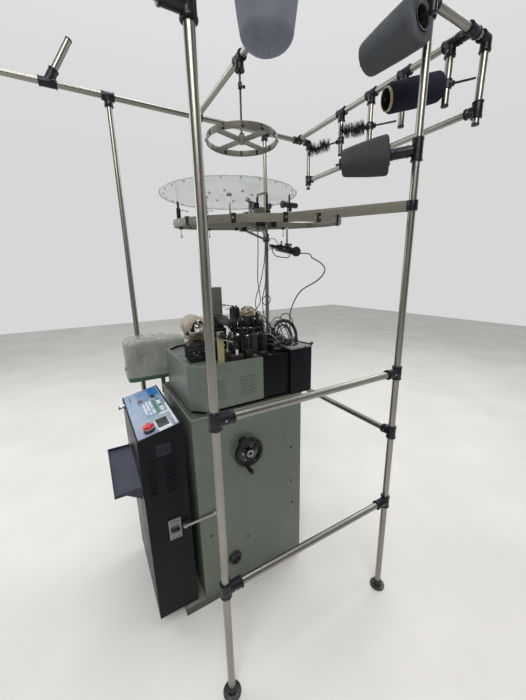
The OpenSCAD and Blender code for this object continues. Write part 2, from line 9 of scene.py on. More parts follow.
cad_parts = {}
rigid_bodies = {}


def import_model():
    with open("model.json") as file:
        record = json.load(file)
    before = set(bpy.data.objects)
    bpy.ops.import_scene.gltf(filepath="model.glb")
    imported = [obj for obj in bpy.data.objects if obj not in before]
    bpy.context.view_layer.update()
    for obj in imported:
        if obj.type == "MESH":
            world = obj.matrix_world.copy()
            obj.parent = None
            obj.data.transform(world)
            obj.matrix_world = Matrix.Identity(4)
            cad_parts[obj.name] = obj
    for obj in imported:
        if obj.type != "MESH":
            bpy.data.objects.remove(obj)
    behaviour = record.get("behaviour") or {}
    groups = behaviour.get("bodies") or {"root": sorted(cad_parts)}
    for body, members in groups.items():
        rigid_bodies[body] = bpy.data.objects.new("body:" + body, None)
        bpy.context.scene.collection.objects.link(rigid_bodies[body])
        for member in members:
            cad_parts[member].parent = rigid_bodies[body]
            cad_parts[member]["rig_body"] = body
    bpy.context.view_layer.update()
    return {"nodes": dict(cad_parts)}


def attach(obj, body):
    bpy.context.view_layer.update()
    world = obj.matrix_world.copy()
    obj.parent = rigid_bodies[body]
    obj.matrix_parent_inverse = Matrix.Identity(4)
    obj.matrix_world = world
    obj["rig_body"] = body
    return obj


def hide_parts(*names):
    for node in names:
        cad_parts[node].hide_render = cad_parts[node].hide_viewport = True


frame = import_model()
N = frame["nodes"]
scene = bpy.context.scene
for o in list(bpy.data.objects):
    if o.name in ("Cube", "Light", "Camera"):
        bpy.data.objects.remove(o)
random.seed(7)
I4 = Matrix.Identity(4)

# ------------------------------------------------------------------ camera
yaw, pitch, roll = radians(29.67), radians(14.32), radians(-1.19)
look = Vector((-cos(yaw) * cos(pitch), sin(yaw) * cos(pitch), -sin(pitch)))
right = look.cross(Vector((0, 0, 1))).normalized()
upv = right.cross(look)
cr = cos(roll) * right + sin(roll) * upv
cu = -sin(roll) * right + cos(roll) * upv
cam_data = bpy.data.cameras.new("camera")
cam_data.sensor_fit = "AUTO"
cam_data.sensor_width = 36.0
cam_data.lens = 36.0 * 304.5 / 700
cam_data.clip_start, cam_data.clip_end = 0.02, 60
camera = bpy.data.objects.new("camera", cam_data)
scene.collection.objects.link(camera)
camera.matrix_world = Matrix((
    (cr.x, cu.x, -look.x, 1.288),
    (cr.y, cu.y, -look.y, -0.491),
    (cr.z, cu.z, -look.z, 1.450),
    (0, 0, 0, 1)))
scene.camera = camera
scene.view_settings.view_transform = "Standard"
scene.view_settings.look = "None"


# ------------------------------------------------------------------ materials
def lin(c):
    c /= 255
    return c / 12.92 if c <= 0.04045 else ((c + 0.055) / 1.055) ** 2.4


def col(r, g, b):
    return (lin(r), lin(g), lin(b), 1.0)


def tint(c, k):
    return (min(c[0] * k, 1), min(c[1] * k, 1), min(c[2] * k, 1), 1.0)


class Mat:
    def __init__(s, name, rgb, rough=0.5, metal=0.0, spec=0.5):
        s.m = bpy.data.materials.new(name)
        s.m.use_nodes = True
        s.t = s.m.node_tree
        s.b = s.t.nodes["Principled BSDF"]
        s.rgb = rgb
        s.set("Base Color", rgb)
        s.set("Roughness", rough)
        s.set("Metallic", metal)
        s.set("Specular IOR Level", spec)
        s.tc = s.t.nodes.new("ShaderNodeTexCoord")
        s.obj = s.tc.outputs["Object"]
        s.last = None

    def set(s, name, v):
        s.b.inputs[name].default_value = v

    def link(s, a, b):
        s.t.links.new(a, b)

    def put(s, socket, v):
        if isinstance(v, bpy.types.NodeSocket):
            s.link(v, socket)
        else:
            socket.default_value = v

    def noise(s, scale, detail=3.0, rough=0.5, stretch=None, dist=0.0):
        n = s.t.nodes.new("ShaderNodeTexNoise")
        n.inputs["Scale"].default_value = scale
        n.inputs["Detail"].default_value = detail
        n.inputs["Roughness"].default_value = rough
        n.inputs["Distortion"].default_value = dist
        v = s.obj
        if stretch:
            mp = s.t.nodes.new("ShaderNodeMapping")
            mp.inputs["Scale"].default_value = stretch
            s.link(v, mp.inputs["Vector"])
            v = mp.outputs["Vector"]
        s.link(v, n.inputs["Vector"])
        return n.outputs["Fac"]

    def ramp(s, v, a, b, lo=0.0, hi=1.0):
        n = s.t.nodes.new("ShaderNodeMapRange")
        n.clamp = True
        s.put(n.inputs["Value"], v)
        for k, x in (("From Min", a), ("From Max", b), ("To Min", lo), ("To Max", hi)):
            n.inputs[k].default_value = x
        return n.outputs["Result"]

    def math(s, op, a, b=0.0):
        n = s.t.nodes.new("ShaderNodeMath")
        n.operation = op
        s.put(n.inputs[0], a)
        s.put(n.inputs[1], b)
        return n.outputs[0]

    def mix(s, f, a, b, blend="MIX"):
        n = s.t.nodes.new("ShaderNodeMix")
        n.data_type = "RGBA"
        n.blend_type = blend
        s.put(n.inputs[0], f)
        s.put(n.inputs[6], a)
        s.put(n.inputs[7], b)
        return n.outputs[2]

    def up(s):
        g = s.t.nodes.new("ShaderNodeNewGeometry")
        x = s.t.nodes.new("ShaderNodeSeparateXYZ")
        s.link(g.outputs["Normal"], x.inputs[0])
        return x.outputs["Z"]

    def xyz(s):
        x = s.t.nodes.new("ShaderNodeSeparateXYZ")
        s.link(s.obj, x.inputs[0])
        return x.outputs[0], x.outputs[1], x.outputs[2]

    def bump(s, h, strength, dist=0.001):
        n = s.t.nodes.new("ShaderNodeBump")
        n.inputs["Strength"].default_value = strength
        n.inputs["Distance"].default_value = dist
        s.link(h, n.inputs["Height"])
        if s.last is not None:
            s.link(s.last, n.inputs["Normal"])
        s.last = n.outputs["Normal"]
        s.link(s.last, s.b.inputs["Normal"])

    def color(s, v):
        s.link(v, s.b.inputs["Base Color"])

    def rough(s, v):
        s.link(v, s.b.inputs["Roughness"])


def paint(name, rgb, rough=0.36, dust=0.3, dustc=(176, 180, 166), mottle=0.07, grime=0.3,
          peel=0.10, spec=0.5, speck=0.3, low=None):
    m = Mat(name, rgb, rough, 0, spec)
    c = m.mix(m.ramp(m.noise(2.4, 3), 0.35, 0.65), tint(rgb, 1 - mottle), tint(rgb, 1 + mottle))
    c = m.mix(m.ramp(m.noise(7, 6, 0.62, (5, 5, 0.6)), 0.52, 0.8, 0, grime), c, tint(rgb, 0.6))
    c = m.mix(m.ramp(m.noise(26, 6, 0.7), 0.6, 0.78, 0, grime * 0.8), c, tint(rgb, 1.25))
    c = m.mix(m.ramp(m.noise(210, 2), 0.70, 0.75, 0, speck), c, tint(rgb, 0.42))
    if low:
        x, y, z = m.xyz()
        h = m.math("ADD", z, m.ramp(m.noise(11, 5), 0.3, 0.7, -0.03, 0.03))
        c = m.mix(m.ramp(h, low, low * 0.25, 0, 0.5), c, tint(rgb, 0.45))
    d = m.math("MULTIPLY", m.ramp(m.up(), 0.55, 0.95), m.ramp(m.noise(9, 5, 0.6), 0.25, 0.7, 0.35, 1))
    c = m.mix(m.math("MULTIPLY", d, dust), c, col(*dustc))
    m.color(c)
    r = m.ramp(m.noise(18, 5, 0.6), 0.3, 0.7, rough * 0.8, rough * 1.3)
    m.rough(m.math("ADD", r, m.math("MULTIPLY", d, 0.25)))
    m.bump(m.noise(420, 2), peel, 0.0006)
    m.bump(m.noise(36, 3), peel * 0.5, 0.002)
    return m


def steel(name, rgb, rough=0.22, stain=0.25, stainc=(112, 96, 74), scr=0.05, spots=0.3, rv=(0.7, 1.7)):
    m = Mat(name, rgb, rough, 1.0)
    c = m.mix(m.ramp(m.noise(5, 4), 0.35, 0.65), tint(rgb, 0.9), tint(rgb, 1.06))
    c = m.mix(m.ramp(m.noise(34, 6, 0.65), 0.5, 0.75, 0, stain), c, col(*stainc))
    c = m.mix(m.ramp(m.noise(240, 3), 0.68, 0.74, 0, spots), c, col(60, 48, 38))
    m.color(c)
    m.rough(m.ramp(m.noise(60, 5, 0.6), 0.3, 0.72, rough * rv[0], rough * rv[1]))
    m.bump(m.noise(600, 2), scr, 0.0004)
    m.bump(m.noise(90, 4), scr * 0.6, 0.0006)
    return m


def plastic(name, rgb, rough=0.36, grain=0.08, scale=700, dust=0.18, mottle=0.12, spec=0.5, dustc=(150, 150, 146)):
    m = Mat(name, rgb, rough, 0, spec)
    c = m.mix(m.ramp(m.noise(12, 4), 0.35, 0.65), tint(rgb, 1 - mottle), tint(rgb, 1 + mottle))
    d = m.math("MULTIPLY", m.ramp(m.up(), 0.45, 0.95, 0.12, 1), m.ramp(m.noise(40, 5, 0.65), 0.4, 0.75))
    c = m.mix(m.math("MULTIPLY", d, dust), c, col(*dustc))
    m.color(c)
    m.rough(m.ramp(m.noise(48, 4), 0.3, 0.7, rough * 0.8, min(1, rough * 1.35)))
    m.bump(m.noise(scale, 2), grain, 0.0004)
    return m


def yarn(name, rgb, pitch=0.0013, wraps=3.0, light=1.3, fuzz=0.5):
    m = Mat(name, rgb, 0.92, 0, 0.12)
    m.set("Sheen Weight", 0.35)
    m.set("Sheen Roughness", 0.45)
    m.set("Sheen Tint", tint(rgb, 2.2))
    x, y, z = m.xyz()
    a = m.math("ARCTAN2", y, x)
    kz = m.math("MULTIPLY", z, 2 * pi / pitch)
    ka = m.math("MULTIPLY", a, wraps)
    wob = m.ramp(m.noise(60, 3), 0, 1, -1.6, 1.6)
    h1 = m.math("SINE", m.math("ADD", m.math("ADD", kz, ka), wob))
    h2 = m.math("SINE", m.math("SUBTRACT", m.math("SUBTRACT", kz, ka), wob))
    h = m.math("MAXIMUM", h1, h2)
    band = m.noise(30, 3, 0.6, (0.12, 0.12, 1.0))
    fz = m.noise(900, 3, 0.7)
    # winding grooves darker and crests lighter: painted shade and painted highlight on the strands
    c = m.mix(m.ramp(h, -0.2, 1.0), tint(rgb, 0.62), tint(rgb, light))
    c = m.mix(m.ramp(band, 0.35, 0.65, 0, 0.35), c, tint(rgb, 1.25))
    c = m.mix(m.ramp(m.noise(5, 4), 0.35, 0.7, 0, 0.4), c, tint(rgb, 0.75))
    c = m.mix(m.ramp(fz, 0.55, 0.75, 0, 0.3), c, tint(rgb, 1.7))
    m.color(c)
    m.bump(h, 0.4, 0.0007)
    m.bump(fz, fuzz, 0.0006)
    m.bump(band, 0.25, 0.002)
    return m


GREEN = col(90, 100, 90)
M = {}
M["green"] = paint("green_enamel", GREEN, 0.34, dust=0.42, dustc=(164, 174, 160), low=0.12)
M["greenbox"] = paint("green_enamel_bed", col(74, 82, 75), 0.32, dust=0.25, dustc=(116, 124, 114))
M["plinth"] = paint("plinth_enamel", col(72, 80, 74), 0.5, dust=0.35, grime=0.5, low=0.05)
# the pale colour goes on the rim's bevel faces: a painted highlight line along the edge
M["rim"] = paint("rim_bevel_painted_highlight", col(158, 156, 140), 0.4, dust=0.3, dustc=(196, 192, 176), grime=0.35)
M["navy"] = paint("navy_black_enamel", col(13, 12, 20), 0.36, dust=0.08, dustc=(70, 70, 86), grime=0.2, speck=0.2, spec=0.16)
M["black_en"] = paint("black_enamel", col(9, 9, 13), 0.36, dust=0.08, dustc=(70, 72, 80), grime=0.2, speck=0.2, spec=0.14)
M["lid"] = paint("lid_enamel", col(112, 114, 116), 0.38, dust=0.35, dustc=(150, 152, 152))
# the rim's top face is painted dark: painted shadow, with some dust
M["rimtop_painted_shadow"] = paint("rim_top_face_painted_shadow", col(50, 55, 48), 0.42, dust=0.3, dustc=(92, 96, 84), grime=0.4)
# the guard's top face is given a darker green than its sides
M["decktop"] = paint("guard_top_darker_green", col(78, 86, 78), 0.36, dust=0.25, dustc=(118, 126, 116), grime=0.4)
M["hubsteel"] = Mat("hub_steel", col(136, 138, 140), 0.48, 0.35, 0.4)
M["tray"] = paint("tray_enamel", col(40, 43, 60), 0.26, dust=0.14, dustc=(96, 102, 124), grime=0.25, spec=0.35)
M["port"] = paint("port_plate", col(40, 38, 50), 0.4, dust=0.06, grime=0.3, spec=0.2)
M["tower"] = M["green"]
M["hoodtray"] = paint("hood_tray_enamel", col(58, 84, 66), 0.36, dust=0.3)
M["beige"] = paint("beige_cover", col(150, 140, 122), 0.42, dust=0.25, dustc=(190, 184, 168), grime=0.7)
M["cream"] = paint("cream_bracket", col(138, 134, 90), 0.5, dust=0.15, dustc=(176, 172, 136), grime=0.7)
M["hoop"] = paint("hoop_enamel", col(104, 102, 92), 0.42, dust=0.3, dustc=(150, 148, 138), grime=0.45, speck=0.45)
M["hooparm"] = paint("hoop_arm_enamel", col(84, 96, 88), 0.42, dust=0.3, dustc=(140, 150, 142), grime=0.45)
M["steel"] = steel("creel_tube_steel", col(150, 149, 141), 0.3, stain=0.05, spots=0.02, scr=0.003, rv=(0.92, 1.12))
M["steel2"] = steel("bright_steel", col(205, 204, 200), 0.14, stain=0.12, spots=0.12)
M["chrome"] = steel("chrome", col(222, 222, 222), 0.07, stain=0.06, spots=0.05, scr=0.02)
M["cast"] = steel("machined_steel", col(142, 138, 130), 0.36, stain=0.4, scr=0.15)
M["gun"] = steel("gun_metal", col(58, 58, 70), 0.2, stain=0.3, scr=0.04)
M["zinc"] = steel("zinc_plate", col(168, 168, 162), 0.3, stain=0.3, scr=0.1)
M["darksteel"] = steel("dark_steel", col(58, 53, 50), 0.36, stain=0.5, stainc=(88, 58, 40), scr=0.2)
M["cam"] = paint("oiled_cam_iron", col(44, 35, 30), 0.4, dust=0.1, dustc=(96, 84, 72), grime=0.6, speck=0.6, spec=0.6)
M["darkcast"] = paint("dark_casting", col(24, 22, 24), 0.42, dust=0.1, dustc=(80, 78, 80), grime=0.5, speck=0.4)
M["brass"] = steel("pale_brass", col(176, 168, 136), 0.34, stain=0.25, scr=0.1)
M["tin"] = steel("take_down_tube", col(160, 162, 164), 0.34, stain=0.25, scr=0.1)
M["joiner"] = plastic("joiner_plastic", col(17, 18, 27), 0.3, grain=0.05, dust=0.10, dustc=(70, 72, 84), spec=0.35)
M["black"] = plastic("black_plastic", col(22, 22, 24), 0.3, grain=0.06, dust=0.2)
M["wheelblack"] = plastic("wheel_black", col(9, 9, 10), 0.26, grain=0.02, dust=0.05, spec=0.3)
M["blackgloss"] = plastic("black_gloss", col(16, 16, 18), 0.16, grain=0.02, dust=0.12)
M["rubber"] = plastic("black_rubber", col(24, 24, 27), 0.55, grain=0.12, dust=0.25)
M["navyplastic"] = plastic("navy_plastic", col(30, 30, 44), 0.34, dust=0.22)
M["grey"] = plastic("grey_plastic", col(120, 122, 122), 0.42)
# also the panel's back-edge strip, which is a painted highlight
M["white"] = plastic("white_plastic_and_painted_highlight", col(212, 214, 210), 0.4, dust=0.3, dustc=(150, 146, 136), mottle=0.04)
M["key"] = plastic("key_white", col(222, 228, 236), 0.28, grain=0.03, dust=0.12, mottle=0.03)
M["keyblue"] = plastic("key_pale_blue", col(150, 176, 204), 0.28, grain=0.03, dust=0.12, mottle=0.05)
M["keygreen"] = plastic("key_green", col(74, 128, 96), 0.3, grain=0.03, dust=0.1)
M["red"] = plastic("red_button", col(186, 24, 20), 0.2, grain=0.02, dust=0.1, dustc=(220, 160, 150), mottle=0.06)
M["tan"] = plastic("tan_button", col(140, 104, 76), 0.3, grain=0.03, dust=0.15)
M["orange"] = plastic("signal_amber", col(214, 132, 40), 0.25, grain=0.02, dust=0.05)
M["motor"] = paint("motor_enamel", col(58, 82, 96), 0.4, dust=0.3)
M["belt"] = plastic("belt_rubber", col(22, 22, 22), 0.6, grain=0.25)
M["gearsteel"] = steel("shaft_steel", col(158, 158, 156), 0.28, stain=0.25, scr=0.1)
M["y_black"] = yarn("yarn_black", col(33, 33, 45), light=1.4)
M["y_charcoal"] = yarn("yarn_charcoal", col(66, 64, 64))
M["y_dark"] = yarn("yarn_dark_grey", col(76, 79, 83))
M["y_grey"] = yarn("yarn_blue_grey", col(116, 120, 132), light=1.12)
M["bristle"] = plastic("brush_bristle", col(30, 30, 33), 0.5, grain=0.1)

m = Mat("cardboard", col(168, 158, 124), 0.8, 0, 0.2)
cc = m.mix(m.ramp(m.noise(160, 5, 0.7, (1, 1, 0.3)), 0.3, 0.7), col(140, 130, 100), col(188, 178, 144))
cc = m.mix(m.ramp(m.noise(20, 4), 0.45, 0.75, 0, 0.5), cc, col(112, 100, 74))
m.color(cc)
m.bump(m.noise(400, 3), 0.2, 0.0006)
M["card"] = m

m = Mat("clear_acrylic", col(205, 214, 208), 0.07, 0, 0.5)
m.set("Alpha", 0.26)
cc = m.mix(m.ramp(m.noise(14, 5, 0.65), 0.35, 0.7), col(186, 198, 192), col(224, 230, 226))
m.color(cc)
m.rough(m.ramp(m.noise(30, 5, 0.6), 0.3, 0.7, 0.04, 0.22))
m.bump(m.noise(18, 2), 0.05, 0.001)
M["acrylic"] = m
m = Mat("acrylic_edge", col(150, 166, 156), 0.1, 0, 0.5)
m.set("Alpha", 0.72)
m.color(m.mix(m.ramp(m.noise(40, 4), 0.3, 0.7), col(126, 144, 134), col(176, 190, 180)))
M["acrylic_edge"] = m

m = Mat("smoke_hood", col(150, 154, 146), 0.2, 0, 0.5)
m.set("Alpha", 0.6)
cc = m.mix(m.ramp(m.noise(6, 4, 0.6), 0.35, 0.68), col(122, 126, 118), col(176, 178, 170))
cc = m.mix(m.ramp(m.noise(70, 5, 0.7), 0.6, 0.8, 0, 0.4), cc, col(206, 206, 198))
m.color(cc)
m.rough(m.ramp(m.noise(22, 5, 0.6), 0.3, 0.7, 0.12, 0.34))
m.bump(m.noise(26, 3), 0.08, 0.002)
M["hood"] = m

m = Mat("clear_tube", col(214, 218, 224), 0.12, 0, 0.5)
m.set("Alpha", 0.62)
m.color(m.mix(m.ramp(m.noise(90, 4), 0.3, 0.7), col(112, 118, 130), col(168, 172, 182)))
m.bump(m.noise(300, 2), 0.05, 0.0005)
M["cleartube"] = m

m = Mat("panel_film", col(132, 150, 174), 0.24, 0.1, 0.6)
x, y, z = m.xyz()
f1 = m.ramp(x, -0.235, 0.10)
f2 = m.ramp(x, 0.10, 0.226)
cc = m.mix(f1, col(112, 148, 186), col(150, 166, 184))
cc = m.mix(f2, cc, col(128, 138, 160))
cc = m.mix(m.ramp(m.noise(14, 5, 0.6), 0.4, 0.75, 0, 0.35), cc, col(88, 100, 124))
cc = m.mix(m.ramp(m.noise(90, 5, 0.7), 0.62, 0.8, 0, 0.4), cc, col(186, 192, 200))
m.color(cc)
m.rough(m.ramp(m.noise(24, 5, 0.6), 0.3, 0.7, 0.18, 0.4))
m.bump(m.noise(500, 2, 0.5, (1, 14, 1)), 0.05, 0.0004)
M["film"] = m

m = Mat("blue_field", col(32, 104, 176), 0.25)
m.color(m.mix(m.ramp(m.noise(36, 4), 0.3, 0.7), col(22, 84, 156), col(60, 132, 200)))
m.bump(m.noise(420, 2), 0.04, 0.0004)
M["bluefield"] = m
m = Mat("display_glass", col(22, 40, 36), 0.1)
m.color(m.mix(m.ramp(m.noise(50, 4), 0.35, 0.7), col(16, 30, 28), col(44, 66, 58)))
m.rough(m.ramp(m.noise(30, 4), 0.3, 0.7, 0.06, 0.2))
M["lcd"] = m
m = Mat("pale_foil", col(206, 212, 222), 0.24, 0.55)
m.color(m.mix(m.ramp(m.noise(28, 5, 0.6), 0.35, 0.7), col(176, 186, 202), col(230, 232, 238)))
m.bump(m.noise(300, 3), 0.06, 0.0005)
M["foil"] = m
m = Mat("lilac_label", col(158, 150, 186), 0.3)
m.color(m.mix(m.ramp(m.noise(40, 4), 0.3, 0.7), col(140, 134, 170), col(178, 172, 202)))
m.bump(m.noise(420, 2), 0.04, 0.0004)
M["lilac"] = m
# near-black standing in for the shade inside screw slots, the yarn cones' bores and other small holes: painted shade
m = Mat("hole_painted_shade", col(8, 8, 9), 0.7)
m.color(m.mix(m.ramp(m.noise(90, 3), 0.3, 0.7), col(5, 5, 6), col(16, 16, 17)))
M["hole"] = m
m = Mat("floor", col(214, 212, 208), 0.62, 0, 0.3)
m.color(m.mix(m.ramp(m.noise(1.4, 4), 0.3, 0.7), col(208, 206, 202), col(220, 218, 214)))
m.bump(m.noise(160, 2), 0.02, 0.001)
M["floor"] = m


def mats(*names):
    return [M[n].m if isinstance(M[n], Mat) else M[n] for n in names]


# ------------------------------------------------------------------ mesh building, in millimetres
def T(x, y=None, z=None):
    return Matrix.Translation(Vector(x) if y is None else Vector((x, y, z)))


def RX(a):
    return Matrix.Rotation(radians(a), 4, "X")


def RY(a):
    return Matrix.Rotation(radians(a), 4, "Y")


def RZ(a):
    return Matrix.Rotation(radians(a), 4, "Z")


def align(p, d):
    return T(p) @ Vector(d).to_track_quat("Z", "Y").to_matrix().to_4x4()


AX = {"x": (1, 0, 0), "-x": (-1, 0, 0), "y": (0, 1, 0), "-y": (0, -1, 0), "z": (0, 0, 1), "-z": (0, 0, -1)}


def catmull(p, n):
    m_ = len(p)
    out = []
    for i in range(m_ - 1):
        a, b, c, d = p[max(i - 1, 0)], p[i], p[i + 1], p[min(i + 2, m_ - 1)]
        for k in range(n):
            t = k / n
            out.append(Vector([0.5 * ((2 * b[j]) + (c[j] - a[j]) * t + (2 * a[j] - 5 * b[j] + 4 * c[j] - d[j]) * t * t
                                      + (-a[j] + 3 * b[j] - 3 * c[j] + d[j]) * t ** 3) for j in range(3)]))
    out.append(Vector(p[-1]))
    return out


class Build:
    def __init__(s):
        s.v, s.f, s.m, s.s = [], [], [], []

    def add(s, verts, faces, mat=0, m=None):
        k = len(s.v)
        if m is not None:
            verts = [m @ Vector(p) for p in verts]
        s.v.extend(tuple(p) for p in verts)
        s.f.extend(tuple(i + k for i in f) for f in faces)
        s.m.extend(mat if isinstance(mat, list) else [mat] * len(faces))
        return s

    def box(s, a, b, bev=0.6, mat=0, m=None):
        h = [abs(b[i] - a[i]) / 2 for i in range(3)]
        c = [(b[i] + a[i]) / 2 for i in range(3)]
        bv = min(bev, min(h) * 0.6)
        vs, idx = [], {}
        for sx in (-1, 1):
            for sy in (-1, 1):
                for sz in (-1, 1):
                    for k in range(3):
                        q = [h[0] - bv, h[1] - bv, h[2] - bv]
                        q[k] = h[k]
                        idx[(sx, sy, sz, k)] = len(vs)
                        vs.append((c[0] + sx * q[0], c[1] + sy * q[1], c[2] + sz * q[2]))
        fs = []
        for k in range(3):
            u_, w_ = (k + 1) % 3, (k + 2) % 3
            for sk in (-1, 1):
                loop = []
                for su, sw in ((-1, -1), (1, -1), (1, 1), (-1, 1)):
                    sg = [0, 0, 0]
                    sg[k], sg[u_], sg[w_] = sk, su, sw
                    loop.append(idx[(*sg, k)])
                fs.append(loop)
            for su in (-1, 1):
                for sw in (-1, 1):
                    e = []
                    for sk, order in ((-1, (u_, w_)), (1, (w_, u_))):
                        sg = [0, 0, 0]
                        sg[k], sg[u_], sg[w_] = sk, su, sw
                        e += [idx[(*sg, order[0])], idx[(*sg, order[1])]]
                    fs.append(e)
        for sx in (-1, 1):
            for sy in (-1, 1):
                for sz in (-1, 1):
                    fs.append([idx[(sx, sy, sz, k)] for k in range(3)])
        return s.add(vs, fs, mat, m)

    def lathe(s, prof, seg=32, mat=0, m=None, closed=False, wob=None):
        vs, rows = [], []
        for p in prof:
            r, z = p[0], p[1]
            if r <= 1e-6:
                rows.append([len(vs)])
                vs.append((0, 0, z))
            else:
                rows.append(list(range(len(vs), len(vs) + seg)))
                for k in range(seg):
                    a = 2 * pi * k / seg
                    rr = r + (wob(a, z) if wob else 0)
                    vs.append((rr * cos(a), rr * sin(a), z))
        fs, ms = [], []
        pairs = [(i, i + 1) for i in range(len(prof) - 1)] + ([(len(prof) - 1, 0)] if closed else [])
        for i, j in pairs:
            A, B_ = rows[i], rows[j]
            mm_ = prof[i][2] if len(prof[i]) > 2 else mat
            if len(A) == 1 and len(B_) == 1:
                continue
            for k in range(seg):
                n_ = (k + 1) % seg
                if len(A) == 1:
                    f = (A[0], B_[k], B_[n_])
                elif len(B_) == 1:
                    f = (A[k], A[n_], B_[0])
                else:
                    f = (A[k], A[n_], B_[n_], B_[k])
                fs.append(f)
                ms.append(mm_)
        return s.add(vs, fs, ms, m)

    def cyl(s, p, d, h, r, mat=0, seg=24, bev=0.5, r2=None):
        r2 = r if r2 is None else r2
        b = min(bev, h * 0.3, r * 0.4, r2 * 0.4)
        return s.lathe([(0, 0), (r - b, 0), (r, b), (r2, h - b), (r2 - b, h), (0, h)], seg, mat, align(p, d))

    def ring(s, p, d, h, ro, ri, mat=0, seg=32, bev=0.4):
        b = min(bev, h * 0.3, (ro - ri) * 0.3)
        return s.lathe([(ri + b, 0), (ro - b, 0), (ro, b), (ro, h - b), (ro - b, h), (ri + b, h), (ri, h - b), (ri, b)],
                       seg, mat, align(p, d), closed=True)

    def rod(s, a, b, r, mat=0, seg=12):
        a, b = Vector(a), Vector(b)
        return s.cyl(a, b - a, (b - a).length, r, mat, seg, 0.4)

    def sweep(s, pts, r, seg=10, mat=0, caps=True, twist=None):
        pts = [Vector(p) for p in pts]
        n = len(pts)
        rad = r if callable(r) else (lambda i: r)
        t0 = (pts[1] - pts[0]).normalized()
        ref = Vector((0, 0, 1)) if abs(t0.z) < 0.9 else Vector((1, 0, 0))
        u_ = t0.cross(ref).normalized()
        vs = []
        for i in range(n):
            t = (pts[min(i + 1, n - 1)] - pts[max(i - 1, 0)]).normalized()
            u_ = (u_ - t * u_.dot(t)).normalized()
            w_ = t.cross(u_)
            for k in range(seg):
                a = 2 * pi * k / seg
                vs.append(pts[i] + rad(i) * (u_ * cos(a) + w_ * sin(a)))
        fs = [(i * seg + k, i * seg + (k + 1) % seg, (i + 1) * seg + (k + 1) % seg, (i + 1) * seg + k)
              for i in range(n - 1) for k in range(seg)]
        if caps:
            fs.append(tuple(range(seg - 1, -1, -1)))
            fs.append(tuple((n - 1) * seg + k for k in range(seg)))
        return s.add(vs, fs, mat)

    def screw(s, p, d, r=4.0, h=2.4, mat=0, dark=1, kind="cross"):
        A = align(p, d)
        if kind == "hex":
            s.lathe([(0, 0), (r * 0.96, 0), (r, 0.3), (r, h - 0.4), (r * 0.9, h), (0, h)], 6, mat, A)
        elif kind == "socket":
            s.lathe([(0, 0), (r, 0), (r, h - 0.5), (r - 0.5, h), (r * 0.55, h), (r * 0.5, h * 0.4), (0, h * 0.4)], 20, mat, A)
        else:
            s.lathe([(0, 0), (r, 0), (r, h * 0.35), (r * 0.8, h * 0.8), (r * 0.45, h), (0, h)], 18, mat, A)
            # the cross slot as raised bars in the dark material: painted shade of the slot
            s.box((-r * 0.62, -r * 0.11, h * 0.86), (r * 0.62, r * 0.11, h + 0.12), 0.05, dark, A)
            s.box((-r * 0.11, -r * 0.62, h * 0.86), (r * 0.11, r * 0.62, h + 0.12), 0.05, dark, A)
        return s

    def coil(s, p, d, length, r, turns, wire=0.8, mat=0):
        A = align(p, d)
        n = int(turns * 14)
        pts = [A @ Vector((r * cos(2 * pi * turns * i / n), r * sin(2 * pi * turns * i / n), length * i / n)) for i in range(n + 1)]
        return s.sweep(pts, wire, 6, mat)

    def make(s, name, names, body, replaces=(), slot=None, angle=32, place=None, local=False):
        me = bpy.data.meshes.new(name)
        k = 0.001
        me.from_pydata([(p[0] * k, p[1] * k, p[2] * k) for p in s.v], [], s.f)
        for x in mats(*names):
            me.materials.append(x)
        me.polygons.foreach_set("material_index", s.m)
        bm = bmesh.new()
        bm.from_mesh(me)
        bmesh.ops.recalc_face_normals(bm, faces=bm.faces)
        for f in bm.faces:
            f.smooth = True
        bm.to_mesh(me)
        bm.free()
        me.set_sharp_from_angle(angle=radians(angle))
        o = bpy.data.objects.new(name, me)
        scene.collection.objects.link(o)
        if place is not None:
            o.matrix_world = place
        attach(o, body)
        if replaces:
            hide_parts(*([replaces] if isinstance(replaces, str) else replaces))
        return o


def dress(node, names, bev=0.8, seg=2, ang=30, pick=None, most=9.0):
    """The node's own shape with eased edges and its finish; pick chooses a material by a face's centre in mm."""
    src = N[node]
    me = src.data.copy()
    me.name = node + "_skin"
    bm = bmesh.new()
    bm.from_mesh(me)
    bmesh.ops.remove_doubles(bm, verts=bm.verts, dist=2e-6)
    bmesh.ops.dissolve_limit(bm, angle_limit=radians(0.6), verts=bm.verts, edges=bm.edges)
    bmesh.ops.recalc_face_normals(bm, faces=bm.faces)
    if bev:
        edges = [e for e in bm.edges if len(e.link_faces) == 2 and e.calc_face_angle() > radians(ang)]
        bmesh.ops.bevel(bm, geom=edges, offset=bev * 0.001, offset_type="OFFSET", segments=seg, profile=0.6,
                        affect="EDGES", clamp_overlap=True, loop_slide=True)
    for f in bm.faces:
        f.smooth = True
        f.material_index = 0
        if pick and f.calc_area() < most:
            f.material_index = pick(f.calc_center_median() * 1000, f.normal)
    me.materials.clear()
    for x in mats(*names):
        me.materials.append(x)
    bm.to_mesh(me)
    bm.free()
    me.set_sharp_from_angle(angle=radians(38))
    o = bpy.data.objects.new(node + "_skin", me)
    scene.collection.objects.link(o)
    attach(o, src["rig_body"])
    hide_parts(node)
    return o


def keep(node, name):
    o = N[node]
    for sl in o.material_slots:
        sl.material = M[name].m
    if not o.material_slots:
        o.data.materials.append(M[name].m)
    for p in o.data.polygons:
        p.use_smooth = True


# ------------------------------------------------------------------ cords
def cord_curve(name, route, r, node, mat, n=8):
    pts = [p * 0.001 for p in catmull(route, n)]
    cu_ = bpy.data.curves.new(name, "CURVE")
    cu_.dimensions = "3D"
    sp = cu_.splines.new("POLY")
    sp.points.add(len(pts) - 1)
    for q, p in zip(sp.points, pts):
        q.co = (*p, 1)
    cu_.bevel_depth = r * 0.001
    cu_.bevel_resolution = 3
    cu_.use_fill_caps = True
    o = bpy.data.objects.new(name, cu_)
    scene.collection.objects.link(o)
    cu_.materials.append(M[mat].m)
    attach(o, "machine")
    if node:
        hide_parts(node)
    return o


